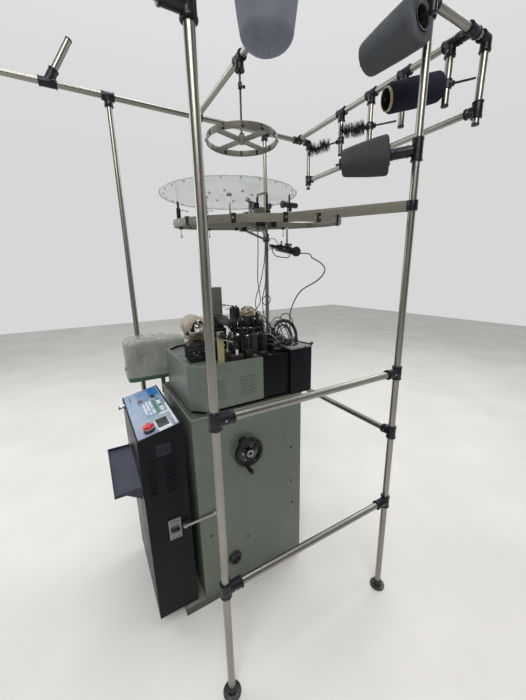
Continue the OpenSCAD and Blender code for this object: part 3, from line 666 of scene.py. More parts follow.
cord_curve("feeder_cable_run", [(54, 416.9, 1536.5), (54, 429, 1534.4), (90, 436, 1532), (150, 415, 1522), (194, 387, 1508),
                                (280, 365, 1482), (327, 347, 1453), (322, 317, 1416), (230, 297, 1366), (179, 287, 1286),
                                (172, 287, 1231), (172, 290, 1130.3)], 2.5, "feeder_cable", "rubber")
cord_curve("post_cable_run", [(-400, 506, 1643.5), (-396, 500, 1600), (-386, 482, 1500), (-360, 440, 1390), (-290, 370, 1312),
                              (-170, 300, 1272), (-40, 250, 1252), (60, 224, 1240), (118, 213, 1224), (140, 212, 1206), (142, 212, 1188.3)],
           2.5, "post_cable", "rubber")
conduit = catmull([(155, 212, 1188.3), (155, 212, 1200), (154, 216, 1213), (151, 235, 1230), (148, 262, 1236), (145, 290, 1232),
                   (143, 315, 1216), (141, 334, 1192), (141, 343, 1165), (141, 344, 1130.3)], 16)
# resample the conduit at an even step so that its ribs are even
step, acc, even = 1.0, 0.0, [conduit[0]]
for i in range(len(conduit) - 1):
    a, b = conduit[i], conduit[i + 1]
    d = (b - a).length
    while acc + d >= step:
        a = a + (b - a) * ((step - acc) / d)
        d = (b - a).length
        even.append(a)
        acc = 0.0
    acc += d
even.append(conduit[-1])
bl = Build()
bl.sweep(even, lambda i: 7.5 if i % 4 in (0, 1) else 6.7, 20, 0)
ob = bl.make("air_conduit_hose", ["rubber"], "machine", "air_conduit", "air_conduit", angle=70)

# ------------------------------------------------------------------ frame constants, as in the exact solids (mm)
XA, XF, YA, YB, YF_, YW, YW2 = 567, -414, -235, 517, -283, 747, 835
RLO, RMID, RBACK, LAD, LZ, YC, XC = 472, 1061, 806, 2005, 2215, 122, 80
CX, CY, SX, SY, WZ, BED = 61, 127, 61, 13, 718, 1097
JR, TR = 17.5, 12.5
PEGS = [(497, YW, 2093, 246, -13, 236), (148, YW, 2088, 215, 0, 128), (-39, YW, 2091, 215, -6, 168),
        (XA, YB, 1828, 221, -3, 262), (630, 440, 2138, 185, -5, 240)]
STUBS = [497, 315, 148, -39]


def panel(x, v, h):
    return T(x, -408, 875.06) @ RX(12.1) @ T(0, v, h)


def peg(q):
    return T(q[0], q[1], q[2]) @ RZ(q[3]) @ RY(90 - q[4])


# ------------------------------------------------------------------ cabinet
dress("plinth", ["plinth"], 1.5)
dress("cabinet_shell", ["green"], 1.5, 3)
# top_rim: green sides, top face painted dark as a painted shadow, bevel faces painted pale as a painted highlight line
dress("top_rim", ["green", "rimtop_painted_shadow", "rim"], 2.0, 3, pick=lambda c, n: 1 if n.z > 0.97 else (2 if n.z > 0.3 else 0))
dress("head_guard", ["green", "decktop"], 0.7, 2, pick=lambda c, n: 1 if n.z > 0.97 and c.z > 1040 else 0)
dress("rear_guard", ["black_en"], 0.8, 2)
dress("head_bed", ["greenbox"], 0.8)
dress("valve_box", ["navy", "lid"], 1.2, 3, pick=lambda c, n: 1 if c.z > 1122.1 else 0)
dress("hinge_brackets", ["green"], 0.8)
dress("drive_frame", ["zinc"], 0.6)
dress("drive_motor", ["motor"], 2.0)
dress("motor_pulley", ["gearsteel"], 0.8)
keep("drive_belt", "belt")
dress("main_shaft", ["gearsteel"], 0.8)
dress("fabric_tube", ["tin"], 0)
dress("wheel_bearing", ["zinc"], 0.8)
dress("inlet_plug", ["black"], 1.2)

# side screws
bl = Build()
for y, z in [(246, 651), (246, 471), (253, 342), (5, 267), (-168, 359)]:
    bl.screw((241, y, z), (1, 0, 0), 5.2, 2.8, 0, 1)
bl.cyl((241, -150, 480), (1, 0, 0), 9, 3.8, 2)
bl.lathe([(0, 0), (5.4, 0), (5.4, 2), (0, 2)], 20, 2, align((250, -150, 480), (1, 0, 0)))
for y, z in [(246, 651), (246, 300), (-168, 651), (-168, 300)]:
    bl.screw((-241, y, z), (-1, 0, 0), 5.2, 2.8, 0, 1)
bl.make("cabinet_screws", ["darksteel", "hole", "zinc"], "machine", "side_screws", "side_screws")

# socket pins and rim screws
bl = Build()
for a in (90, 210, 330):
    bl.cyl((246, -65 + 10 * cos(radians(a)), 186 + 10 * sin(radians(a))), (1, 0, 0), 7, 2.2, 0, 14)
for a in (45, 225):
    bl.screw((246, -65 + 30 * cos(radians(a)), 186 + 30 * sin(radians(a))), (1, 0, 0), 2.4, 1.2, 1, 2)
bl.make("socket_pins", ["darksteel", "darksteel", "hole"], "machine", slot="inlet_plug")

# ------------------------------------------------------------------ handwheel
dress("handwheel", ["wheelblack"], 1.0, 2, 34)
dress("wheel_knob", ["blackgloss"], 2.0, 3)
bl = Build()
bl.ring((280, SY, WZ), (1, 0, 0), 1.6, 16.5, 8.5, 0, 40)
bl.lathe([(0, 0), (7.2, 0), (7.2, 1.2), (4.4, 2.2), (0, 2.2)], 24, 1, align((280, SY, WZ), (1, 0, 0)))
bl.box((276, SY - 2.4, WZ + 9), (281.2, SY + 2.4, WZ + 15), 0.3, 1)
bl.make("wheel_hub_ring", ["hubsteel", "darksteel"], "wheel_rotor", slot="handwheel")

# ------------------------------------------------------------------ knitting head
dress("cam_ring", ["cam", "darkcast", "brass", "darksteel"], 0.6, 2, pick=lambda c, n: 1 if (c.x < 31 and c.z > 1206) else (3 if 1198 < c.z < 1212 else 0))
dress("dial", ["cast", "brass"], 0.8, 2, pick=lambda c, n: 1 if c.z > 1262 else 0)
dress("dial_bridge", ["darkcast"], 1.2, 2)
dress("tower_column", ["green"], 2.0, 3)
dress("stepper_block", ["black"], 1.0)
dress("blower_cover", ["beige", "rubber"], 2.0, 3, pick=lambda c, n: 1 if (c.x > 29 and (c.y + 112) ** 2 + (c.z - 1236) ** 2 < 22.6 ** 2) else 0)
dress("air_fittings", ["chrome", "gun"], 0.8, 2, pick=lambda c, n: 1 if c.x > 130 else 0)
dress("mount_bracket", ["cream"], 0.7)
dress("tube_manifold", ["navyplastic"], 1.0)
dress("needle_cylinder", ["chrome"], 0.3, 1)

# needles round the cylinder's top
bl = Build()
for i in range(84):
    A = T(CX, CY, 0) @ RZ(360 * i / 84)
    bl.box((50.4, -0.45, 1150), (51.6, 0.45, 1189), 0.12, 0, A)
    bl.sweep([A @ Vector(p) for p in ((51, 0, 1188.5), (51, 0, 1192), (52.2, 0, 1193.6), (52.9, 0, 1192.2))], 0.4, 5, 0)
bl.ring((CX, CY, 1184.6), (0, 0, 1), 1.2, 49.8, 46.2, 1, 64)
bl.make("needles", ["chrome", "steel2"], "cylinder_rotor", slot="needle_cylinder")

# knurl on the dial's cap, its rim and screw
bl = Build()
for i in range(48):
    A = T(CX, CY, 0) @ RZ(7.5 * i)
    bl.box((31.6, -0.8, 1264.5), (33.0, 0.8, 1281.5), 0.3, 0, A)
bl.ring((CX, CY, 1289), (0, 0, 1), 1.4, 20, 13, 0, 40)
bl.screw((CX, CY, 1289), (0, 0, 1), 6.5, 4.0, 1, 2, "socket")
for i in range(40):
    A = T(CX, CY, 0) @ RZ(9 * i)
    bl.box((30, -0.45, 1197.6), (43.6, 0.45, 1198.9), 0.1, 1, A)
bl.make("dial_cap_knurl", ["brass", "chrome", "hole"], "dial_rotor", slot="dial")

# cam blocks: screws, springs, levers and yarn fingers
bl = Build()
for i in range(8):
    a = radians(22 + 45 * i)
    c_, s_ = cos(a), sin(a)
    bl.screw((CX + 78 * c_, CY + 78 * s_, 1181), (0, 0, 1), 4.2, 4.2, 0, 2, "socket")
    bl.screw((CX + 66 * c_, CY + 66 * s_, 1181), (0, 0, 1), 2.6, 2.2, 0, 2, "socket")
    A = T(CX, CY, 0) @ RZ(22 + 45 * i)
    bl.box((88, -6, 1146), (93, 6, 1172), 0.5, 3, A)
    bl.screw(A @ Vector((93, 0, 1164)), (c_, s_, 0), 2.6, 2.0, 0, 2, "socket")
    bl.screw(A @ Vector((93, 0, 1153)), (c_, s_, 0), 2.6, 2.0, 0, 2, "socket")
    b_ = A @ Vector((75, 24, 1146))
    bl.coil(b_, (0, 0, 1), 26, 3.2, 8, 0.55, 1)
    bl.rod(b_ - Vector((0, 0, 1)), b_ + Vector((0, 0, 34)), 1.5, 0)
    bl.cyl(b_ + Vector((0, 0, 30)), (0, 0, 1), 5, 4.2, 3, 14)
    c2 = A @ Vector((80, -26, 1145))
    bl.rod(c2, c2 + Vector((0, 0, 42)), 2.0, 1)
    bl.box((70, -31, 1180), (84, -22, 1186), 0.6, 3, A)
for i in range(5):
    a0 = 200 + 26 * i
    A = T(CX, CY, 0) @ RZ(a0)
    pts = [A @ Vector(p) for p in ((84, 0, 1211), (84, 0, 1234), (76, 0, 1243), (60, 0, 1232), (56, 2, 1216))]
    bl.sweep(catmull(pts, 5), 1.1, 8, 1)
    bl.cyl(A @ Vector((84, 0, 1208)), (0, 0, 1), 10, 3.4, 3, 14)
# pot of the upper selector and its screws
for y, z in ((80, 1222), (98, 1222), (80, 1250), (98, 1250)):
    bl.screw((30, y, z), (1, 0, 0), 2.8, 2.0, 0, 2, "socket")
bl.rod((-26, 60, 1286), (14, 92, 1293), 1.6, 1)
bl.rod((6, 84, 1288), (-30, 44, 1302), 1.2, 1)
bl.cyl((-30, 44, 1300), (0, 0, 1), 5, 2.6, 3, 12)
bl.make("cam_hardware", ["zinc", "steel2", "hole", "darksteel"], "machine", slot="cam_ring")

# the long levers and rods in front of the cylinder
bl = Build()
bl.rod((20, -76, 1188), (140, 20, 1166), 3.2, 0)
bl.rod((28, -88, 1176), (150, -20, 1160), 2.6, 0)
bl.cyl((140, 20, 1166), (0.78, 0.62, -0.1), 9, 5.5, 1, 16)
bl.box((96, -38, BED), (120, -12, 1150), 1.2, 1)
bl.cyl((108, -25, 1150), (0, 0, 1), 26, 6.5, 2, 20)
bl.cyl((108, -25, 1176), (0, 0, 1), 7, 9.5, 1, 20)
bl.box((150, -34, BED), (172, -4, 1138), 1.2, 3)
bl.box((176, -16, BED), (200, 40, 1126), 1.2, 3)
bl.cyl((188, 12, 1126), (0, 0, 1), 22, 8, 2, 20)
bl.screw((161, -19, 1138), (0, 0, 1), 5, 5, 2, 4, "socket")
bl.box((160, 72, BED), (214, 108, 1114), 1.2, 3)
bl.screw((172, 90, 1114), (0, 0, 1), 5, 5, 2, 4, "socket")
bl.screw((202, 90, 1114), (0, 0, 1), 5, 5, 2, 4, "socket")
for x, y in ((-186, -120), (-60, -176), (150, -176), (205, -110), (-190, 60), (205, 60)):
    bl.screw((x, y, BED), (0, 0, 1), 5.5, 3.5, 2, 4, "socket")
bl.box((-150, -60, BED), (-104, -28, 1124), 1.2, 1)
bl.cyl((-127, -44, 1124), (0, 0, 1), 12, 9, 2, 20)
# bright pins that stand between the levers
bl.cyl((100, 34, BED), (0, 0, 1), 84, 3.2, 3, 16)
bl.cyl((100, 34, 1178), (0, 0, 1), 24, 4.6, 2, 20)
bl.cyl((100, 70, 1150), (0, 0, 1), 54, 3.4, 2, 18)
bl.cyl((100, 70, BED), (0, 0, 1), 56, 6, 1, 18)
bl.cyl((100, 70, 1204), (0, 0, 1), 5, 6, 1, 18)
# lever bar from the front with its black knob
bl.rod((100, -156, 1219), (100, -84, 1216), 3.4, 2)
bl.lathe([(0, 0), (5, 0.6), (8, 3), (9, 8), (8, 13), (4, 15.4), (0, 15.6)], 24, 1, align((100, -153, 1219), (0, -1, 0)))
bl.box((94, -90, 1180), (106, -78, 1222), 1.2, 3)
bl.make("bed_hardware", ["steel2", "black", "chrome", "cam", "hole"], "machine", slot="cam_ring")

# selector actuators: three dark upright boxes round the cylinder, their leads and levers
bl = Build()
for a, h, w in ((-34, 86, 11), (-12, 104, 13), (12, 96, 12)):
    A = T(CX, CY, 0) @ RZ(a)
    bl.box((93.5, -w, BED), (122, w, BED + h), 1.6, 0, A)
    bl.box((122, -w + 2.5, BED + 10), (124, w - 2.5, BED + h - 12), 0.6, 1, A)
    for k in range(7):
        bl.box((123.6, -w + 4, BED + 16 + 9 * k), (125.2, w - 4, BED + 19 + 9 * k), 0.3, 3, A)
    for k in (-1, 1):
        bl.screw(A @ Vector((108, k * (w - 4.5), BED + h)), (0, 0, 1), 2.6, 2.2, 2, 4, "socket")
    bl.box((90, -3, BED + h - 9), (96, 3, BED + h - 4), 0.5, 2, A)
    bl.cyl(A @ Vector((112, 0, BED + h)), (0, 0, 1), 9, 4.2, 1, 18)
    p0 = A @ Vector((112, 0, BED + h + 8))
    bl.sweep(catmull([p0, p0 + Vector((2, 2, 10)), p0 + Vector((0, 12, 17)), p0 + Vector((-8, 24, 13)), p0 + Vector((-14, 32, -2)), p0 + Vector((-16, 36, -24))], 6), 1.5, 8, 1)
bl.make("selector_actuators", ["navyplastic", "black", "darksteel", "rubber", "hole"], "machine", slot="tube_manifold")

# black arms, springs and yarn guides over the dial
bl = Build()
bl.sweep([(-60, 17, 1266), (-42, 40, 1262), (-20, 70, 1249)], 4.2, 10, 0)
bl.sweep(catmull([(-4, 34, 1302), (10, 48, 1310), (16, 70, 1305), (15, 92, 1301)], 6), 1.7, 8, 0)
bl.rod((4, 20, 1318), (6, 92, 1301), 1.5, 1)
bl.lathe([(0, 0), (3.6, 0.4), (4.2, 3), (3.2, 6), (0, 6.6)], 16, 0, align((4, 22, 1318), (0, -1, 0.2)))
bl.box((2, 72, 1292), (28, 106, 1299), 1.0, 2)
for y in (80, 98):
    bl.cyl((15, y, 1299), (0, 0, 1), 8, 3.6, 1, 16)
bl.sweep(catmull([(58, 100, 1292), (60, 118, 1297), (61, 140, 1294), (61, 158, 1292), (62, 176, 1276), (64, 192, 1258), (66, 206, 1250)], 6), 2.6, 10, 0)
bl.sweep(catmull([(48, 104, 1290), (44, 124, 1300), (46, 150, 1300), (52, 172, 1286), (58, 190, 1262)], 6), 1.6, 8, 1)
bl.box((52, 150, 1250), (74, 184, 1262), 1.2, 0)
bl.cyl((63, 176, 1211), (0, 0, 1), 42, 5, 2, 18)
bl.cyl((63, 176, 1262), (0, 0, 1), 12, 6, 0, 20)
bl.box((84, 150, 1211), (112, 178, 1246), 1.4, 0)
bl.cyl((98, 164, 1246), (0, 0, 1), 10, 7, 2, 20)
bl.coil((98, 164, 1256), (0, 0, 1), 14, 4, 6, 0.8, 1)
bl.box((-2, 150, 1211), (30, 184, 1240), 1.4, 0)
bl.cyl((14, 166, 1240), (0, 0, 1), 14, 6, 2, 20)
for i in range(9):
    A = T(CX, CY, 0) @ RZ(-70 + 21 * i)
    bl.rod(A @ Vector((74, 0, 1211)), A @ Vector((78, 2, 1236 + 5 * (i % 3))), 1.5, 1)
    bl.sweep(catmull([A @ Vector(q_) for q_ in ((78, 2, 1234 + 5 * (i % 3)), (76, 4, 1243 + 5 * (i % 3)), (66, 6, 1244), (58, 5, 1228))], 4), 1.2, 8, 1 if i % 2 else 0)
    bl.box((66, -6, 1211), (82, 6, 1218), 0.8, 2 if i % 2 else 0, A)
bl.make("dial_arms", ["black", "darksteel", "cam"], "machine", slot="dial_bridge")

# dark knobs and levers at the front of the bed
bl = Build()
bl.box((-92, 4, BED), (-42, 68, 1198), 2, 0)
bl.box((-86, 12, 1198), (-50, 60, 1214), 1.4, 0)
for y in (20, 36, 52):
    bl.cyl((-42, y, 1180), (1, 0, 0), 6, 5, 1, 18)
bl.box((-60, 150, BED), (-26, 200, 1180), 1.6, 0)
bl.box((108, 196, BED), (130, 236, 1168), 1.6, 0)
bl.box((184, 112, BED), (212, 150, 1124), 1.6, 0)
bl.lathe([(0, 0), (16, 0), (19, 2), (19, 13), (16, 15), (6, 16), (0, 16)], 32, 0, align((150, -62, 1176), (1, 0, 0)))
bl.cyl((120, -62, 1176), (1, 0, 0), 32, 5, 1, 18)
bl.box((110, -76, BED), (128, -48, 1192), 1.4, 0)
bl.box((136, 6, BED), (160, 34, 1164), 1.4, 0)
bl.screw((148, 20, 1164), (0, 0, 1), 4.4, 4.4, 1, 2, "socket")
bl.box((20, -60, BED), (62, -36, 1156), 1.4, 0)
bl.cyl((40, -48, 1156), (0, 0, 1), 14, 7, 1, 20)
bl.box((-40, -50, BED), (6, -14, 1170), 1.4, 3)
bl.cyl((-18, -32, 1170), (0, 0, 1), 20, 8, 0, 20)
bl.rod((-18, -32, 1186), (60, -20, 1196), 3.0, 1)
bl.rod((60, -20, 1196), (96, 12, 1190), 2.6, 0)
bl.box((168, 50, BED), (196, 82, 1140), 1.4, 0)
bl.cyl((182, 66, 1140), (0, 0, 1), 12, 6, 1, 20)
bl.make("bed_blocks", ["darkcast", "darksteel", "hole", "cam"], "machine", slot="dial_bridge")

# stepper block: cooling fins on its front, coil heads and plug
bl = Build()
for i in range(5):
    bl.box((58 + 11 * i, -166.5, 1112), (62 + 11 * i, -162, 1172), 0.5, 0)
for i in range(3):
    bl.cyl((111, -144 + 22 * i, 1140), (1, 0, 0), 3.6, 7.5, 1, 20)
    bl.cyl((114.6, -144 + 22 * i, 1140), (1, 0, 0), 2.4, 3.2, 2, 14)
bl.box((62, -150, 1177.5), (106, -95, 1182), 0.8, 1)
for x in (68, 100):
    for y in (-144, -101):
        bl.screw((x, y, 1182), (0, 0, 1), 3, 2.4, 2, 3, "socket")
bl.sweep(catmull([(115.6, -146, 1134), (116.4, -138, 1126), (116.6, -130, 1129), (116.4, -124, 1121), (115.8, -116, 1116)], 6), 1.1, 8, 2)
bl.make("stepper_detail", ["black", "darksteel", "zinc", "hole"], "machine", slot="stepper_block")

# blower cover: ribbed rim, chrome valve in its mouth, clamp band
bl = Build()
for i in range(34):
    a = radians(360 * i / 34)
    if -0.5 < sin(a):
        p = Vector((-8, -112 + 43.6 * cos(a), 1236 + 43.6 * sin(a)))
        bl.rod(p, p + Vector((14, 0, 0)), 1.2, 0, 8)
bl.ring((20, -112, 1236), (1, 0, 0), 8, 45.2, 43.4, 1, 48)
bl.lathe([(12, 0), (12, 5), (15, 6), (15, 12), (10, 14), (10, 20), (13, 21), (13, 27), (6, 29), (0, 29)], 28, 2,
         align((82, -112, 1236), (1, 0, 0)))
bl.cyl((96, -112, 1250), (0, 0, 1), 14, 4, 2, 16)
bl.lathe([(0, 0), (7, 0), (7.5, 3), (5, 6), (0, 6)], 20, 2, align((96, -112, 1264), (0, 0, 1)))
bl.make("blower_detail", ["beige", "zinc", "chrome"], "machine", slot="blower_cover")

# knurled adjusting knob
bl = Build()
bl.lathe([(4.06, 0, 0), (11, 0, 0), (13.6, 2, 0), (13.6, 21, 0), (12.2, 24, 0), (9, 24.6, 0), (6, 23.4, 0), (0, 23.2, 0), (0, 9.4), (4.06, 9.4)],
         44, 0, align((215, -66, 1222), (1, 0, 0)))
for i in range(22):
    a = 2 * pi * i / 22
    p = Vector((217.5, -66 + 13.2 * cos(a), 1222 + 13.2 * sin(a)))
    bl.rod(p, p + Vector((18, 0, 0)), 0.9, 0, 8)
bl.make("adjust_knob_knurled", ["blackgloss", "zinc"], "adjust_knob_body", "adjust_knob", "adjust_knob")
bl = Build()
bl.screw((212, -83, BED + 4), (0, 0, 1), 2.8, 3, 0, 1, "socket")
bl.screw((212, -44, BED + 4), (0, 0, 1), 3.4, 3, 0, 1, "socket")
bl.make("bracket_screws", ["zinc", "hole"], "machine", slot="mount_bracket")

# manifold: push-in collars
bl = Build()
for y in (200, 212, 224):
    for z in (1120, 1150):
        bl.ring((184, y, z), (1, 0, 0), 3, 5.6, 2.2, 0, 20)
bl.ring((168, 212, 1187), (0, 0, 1), 3, 5.6, 2.2, 0, 20)
for z in (1106, 1136, 1166):
    bl.box((131.2, 190.8, z), (178.8, 192.4, z + 2), 0.3, 1)
for y in (198, 226):
    bl.screw((170, y, 1180), (0, 0, 1), 2.8, 2, 1, 2, "socket")
bl.make("manifold_detail", ["zinc", "black", "hole"], "machine", slot="tube_manifold")

# bundle of thin pneumatic tubes from the manifold round to the cam ring
random.seed(11)
TUBES = [
    ("a", (187.2, 200, 1120), (212, 199, 1122), (232, 182, 1140), (226, 156, 1158), (198, 138, 1152), (172, 131, 1130), (152.6, 130, 1116), "rubber"),
    ("b", (187.2, 212, 1120), (216, 211, 1124), (240, 190, 1150), (232, 158, 1176), (200, 134, 1172), (168, 118, 1150), (148.6, 110, 1124), "rubber"),
    ("c", (187.2, 200, 1150), (206, 199, 1154), (216, 184, 1176), (204, 162, 1196), (178, 150, 1194), (156, 152, 1176), (138.0, 163, 1164), "cleartube"),
    ("d", (187.2, 212, 1150), (212, 211, 1156), (226, 192, 1186), (210, 166, 1212), (176, 160, 1212), (150, 166, 1190), (134.0, 172, 1170), "navyplastic"),
    ("e", (187.2, 224, 1150), (214, 223, 1158), (230, 206, 1192), (212, 184, 1222), (172, 180, 1222), (140, 186, 1200), (118.0, 192, 1184), "cleartube"),
    ("f", (187.2, 224, 1120), (218, 223, 1126), (244, 210, 1152), (246, 250, 1176), (226, 280, 1180), (208, 286, 1160), (204, 286, 1130.4), "rubber"),
    ("g", (138, 200, 1180.4), (137, 202, 1214), (140, 220, 1246), (147, 250, 1252), (158, 278, 1222), (165, 292, 1172), (166, 296, 1130.4), "navyplastic"),
    ("h", (148, 199, 1180.4), (150, 203, 1216), (156, 222, 1240), (164, 246, 1230), (174, 266, 1196), (182, 276, 1156), (184, 278, 1130.4), "rubber"),
    ("i", (160, 199, 1180.4), (163, 192, 1212), (160, 170, 1240), (144, 152, 1244), (130, 146, 1226), (124, 146, 1211.4), "rubber"),
    ("j", (170, 200, 1180.4), (176, 196, 1204), (182, 206, 1228), (186, 232, 1232), (192, 262, 1204), (200, 284, 1164), (202, 300, 1130.4), "rubber"),
    ("k", (162, 227, 1180.4), (161, 232, 1216), (158, 250, 1260), (154, 282, 1268), (150, 312, 1240), (152, 328, 1184), (154, 332, 1130.4), "rubber"),
    ("l", (172, 227, 1180.4), (178, 234, 1204), (184, 254, 1214), (190, 276, 1192), (192, 290, 1158), (192, 312, 1130.4), "navyplastic"),
    ("m", (140, 226, 1180.4), (134, 232, 1206), (120, 246, 1226), (104, 268, 1216), (96, 292, 1180), (94, 306, 1130.4), "rubber"),
    ("n", (150, 227, 1180.4), (146, 240, 1210), (132, 262, 1232), (120, 292, 1226), (114, 316, 1186), (112, 326, 1130.4), "cleartube"),
    ("o", (133.6, 206, 1160), (118, 210, 1176), (104, 214, 1204), (92, 210, 1226), (78, 202, 1232), (66, 196, 1211.4), "navyplastic"),
    ("p", (178.4, 204, 1172), (200, 206, 1180), (218, 224, 1190), (220, 252, 1184), (216, 272, 1160), (214, 280, 1130.4), "cleartube"),
]
for key, *route_, mat in TUBES:
    cord_curve("air_tube_" + key, route_, 2.0, None, mat, 8)
bl = Build()
for key, *route_, mat in TUBES:
    p, q = Vector(route_[-1]), Vector(route_[-2])
    d = (p - q).normalized()
    if d.z < -0.7:
        bl.ring((p.x, p.y, p.z - 0.4), (0, 0, 1), 6, 4.6, 2.1, 0, 18)
    else:
        bl.ring(p - d * 4, d, 5, 4.2, 2.05, 0, 18)
        bl.cyl(p + d * 0.4, d, 9, 3.2, 0, 16)
for key, *route_, mat in TUBES[6:]:
    p, q = Vector(route_[0]), Vector(route_[1])
    bl.ring(p, (q - p).normalized(), 6, 4.2, 2.05, 0, 18)
bl.make("air_tube_fittings", ["darksteel"], "machine", slot="tube_manifold")

# second hose loop under the conduit, and the two thin leads that hang from the hoop's hub
cord_curve("hose_loop", [(160, 224, 1180.4), (160, 226, 1194), (157, 236, 1209), (153, 254, 1217), (149, 274, 1215), (146, 296, 1200),
                         (144, 312, 1176), (144, 318, 1152), (144, 319, 1130.4)], 4.2, None, "rubber")
cord_curve("hub_lead_a", [(125.6, 158, 1640), (134, 153, 1606), (140, 150, 1560), (141, 147, 1499), (140, 145, 1419), (140, 152, 1365),
                          (138, 156, 1330), (128, 144, 1300), (108, 120, 1284), (90, 100, 1270), (84, 95, 1255)], 1.8, None, "rubber")
cord_curve("hub_lead_b", [(125.6, 186, 1640), (136, 195, 1606), (141, 196, 1550), (140, 190, 1459), (140, 180, 1397), (140, 171, 1362),
                          (138, 166, 1338), (137, 172, 1318), (138, 186, 1312), (140, 199, 1319), (142, 204, 1335), (143, 197, 1349), (144, 182, 1353),
                          (145, 168, 1343), (146, 162, 1322), (150, 168, 1262), (160, 188, 1224), (167, 205, 1206), (168, 212, 1189)], 1.8, None, "rubber")
bl = Build()
bl.ring((144, 319, 1130), (0, 0, 1), 6, 7.5, 4.3, 0, 24)
bl.ring((160, 224, 1179.6), (0, 0, 1), 6, 7.5, 4.3, 0, 24)
bl.cyl((84, 95, 1246), (0, 0, 1), 9, 4.2, 1, 18)
bl.box((122, 150, 1632), (131, 194, 1650), 1.2, 0)
bl.make("lead_fittings", ["black", "zinc"], "machine", slot="tube_manifold")

# connectors that crowd the valve box's near end
bl = Build()
bl.box((118, 250, 1130), (200, 276, 1150), 1.6, 0)
bl.box((60, 262, 1130), (112, 300, 1156), 1.6, 0)
for i in range(5):
    bl.cyl((126 + 16 * i, 263, 1150), (0, 0, 1), 9, 4.4, 1, 16)
for i in range(3):
    bl.cyl((70 + 16 * i, 281, 1156), (0, 0, 1), 9, 4.4, 1, 16)
bl.make("valve_connectors", ["darkcast", "navyplastic"], "machine", slot="valve_box")

# ball-ended rod lying on the valve box
bl = Build()
bl.rod((120, 334, 1133.6), (236, 358, 1133.6), 2.8, 0)
bl.lathe([(0, -7.5), (3.4, -6.7), (6.2, -4.2), (7.5, 0), (6.2, 4.2), (3.4, 6.7), (0, 7.5)], 24, 0, T(240, 359, 1137.6))
bl.cyl((168, 343.5, 1130), (0, 0, 1), 5, 6, 1, 18)
bl.rod((232, 312, 1127), (250, 318, 1127), 3.0, 0)
bl.make("valve_lever", ["blackgloss", "zinc"], "machine", slot="valve_box")
bl = Build()
for x in (30, 232):
    for y in (252, 350):
        bl.screw((x, y, 1130), (0, 0, 1), 4, 2.4, 0, 1)
bl.ring((172, 290, 1130), (0, 0, 1), 7, 6, 2.7, 2, 20)
bl.ring((141, 344, 1130), (0, 0, 1), 8, 12, 7.6, 2, 28)
bl.make("valve_box_detail", ["zinc", "hole", "black"], "machine", slot="valve_box")

# ------------------------------------------------------------------ guard louvres, pressed outwards
bl = Build()
for i in range(6):
    for y0, y1 in ((-103, -63), (4, 67)):
        z = 972 + 15 * i
        bl.add([(233.6, y0, z + 3), (233.6, y1, z + 3), (238.4, y1 - 2, z - 0.6), (238.4, y0 + 2, z - 0.6),
                (233.6, y0, z + 9), (233.6, y1, z + 9), (233.9, y0, z + 3), (233.9, y1, z + 3), (237.6, y1 - 2, z - 0.6), (237.6, y0 + 2, z - 0.6)],
               [(4, 5, 2, 3), (4, 3, 0), (5, 1, 2), (3, 2, 8, 9), (6, 7, 8, 9)], 0)
bl.make("guard_louvres", ["green"], "machine", slot="head_guard", angle=25)

# ------------------------------------------------------------------ control box
def box_pick(c, n):
    if 221.8 < c.x < 242 and -335.5 < c.y < -286.5 and 419.5 < c.z < 508.5:
        return 1
    if c.x > 231.2 and c.z < 480 and c.y > -285 and c.z > 460:
        return 2
    return 0


dress("control_box", ["navy", "grey", "zinc"], 1.4, 3, pick=box_pick, most=0.006)
dress("front_tray", ["tray"], 0.8, 2)
dress("hook_catch", ["zinc"], 0.7)
dress("breaker_toggle", ["black"], 0.6)
dress("push_black", ["blackgloss"], 1.2, 3)
dress("push_tan", ["tan"], 1.2, 3)
dress("key_switch", ["chrome"], 0.5)

bl = Build()
prof = [(0, 7.6), (7, 7.6), (7, 14.2), (12, 14.2), (16.4, 14.8), (18.6, 16.2), (19.8, 18.4), (20.0, 21), (19.8, 24.4), (18.6, 27.4), (15.5, 29.4), (10, 30.4), (0, 30.8)]
bl.lathe(prof, 56, 0, panel(190, 54, 0))
for a in (90, 210, 330):
    bl.box((11.2, -2.0, 30.0), (15.5, 2.0, 30.9), 0.3, 1, panel(190, 54, 0) @ RZ(a) @ T(0, 0, -0.6))
bl.ring(panel(190, 54, 16.5) @ Vector((0, 0, 0)), (panel(0, 0, 1) @ Vector() - panel(0, 0, 0) @ Vector()), 1.6, 20.0, 18, 1, 48)
bl.make("mushroom_button", ["red", "white"], "estop_body", "estop_button", "estop_button")

# panel: film, raised frames, keys, display, indicator lights, screws
bl = Build()
P0 = panel(0, 0, 0)
bl.box((-232, 6, 0), (223, 160, 3), 0.8, 0, P0)
bl.box((120, 84, 3), (228, 136, 5), 0.8, 3, P0)
bl.box((128, 80, 3), (212, 134, 6), 1.0, 3, P0)
bl.box((134, 86, 5.8), (206, 128, 6.9), 0.5, 2, P0)
bl.box((-72, 60, 3), (78, 146, 5), 0.8, 0, P0)
bl.box((-222, 108, 3), (-118, 152, 5), 0.8, 4, P0)
# white strip along the panel's back edge: a painted highlight
bl.box((11, 149, 3), (215, 157, 4.6), 0.6, 12, P0)
bl.box((84, 112, 3), (98, 148, 4.6), 0.5, 12, P0)
bl.box((147, 30, 3), (166, 74, 4.2), 0.5, 13, P0)
bl.box((-60, 108, 4.6), (84, 121, 5.8), 0.4, 5, P0)
for i in range(7):
    for j in range(3):
        bl.box((-64 + 20 * i, 66 + 14 * j, 5), (-50 + 20 * i, 76 + 14 * j, 7.4), 0.9, 6 if (i + j) % 6 else 7, P0)
for i in range(6):
    bl.box((-62 + 23 * i, 127, 5), (-46 + 23 * i, 140, 7.6), 0.9, 6 if i % 3 else 8, P0)
for i in range(5):
    q = P0 @ Vector((-196 + 14 * i, 28, 3))
    bl.cyl(q, P0.to_3x3() @ Vector((0, 0, 1)), 2.6, 3.2, 9 if i % 2 else 8, 16)
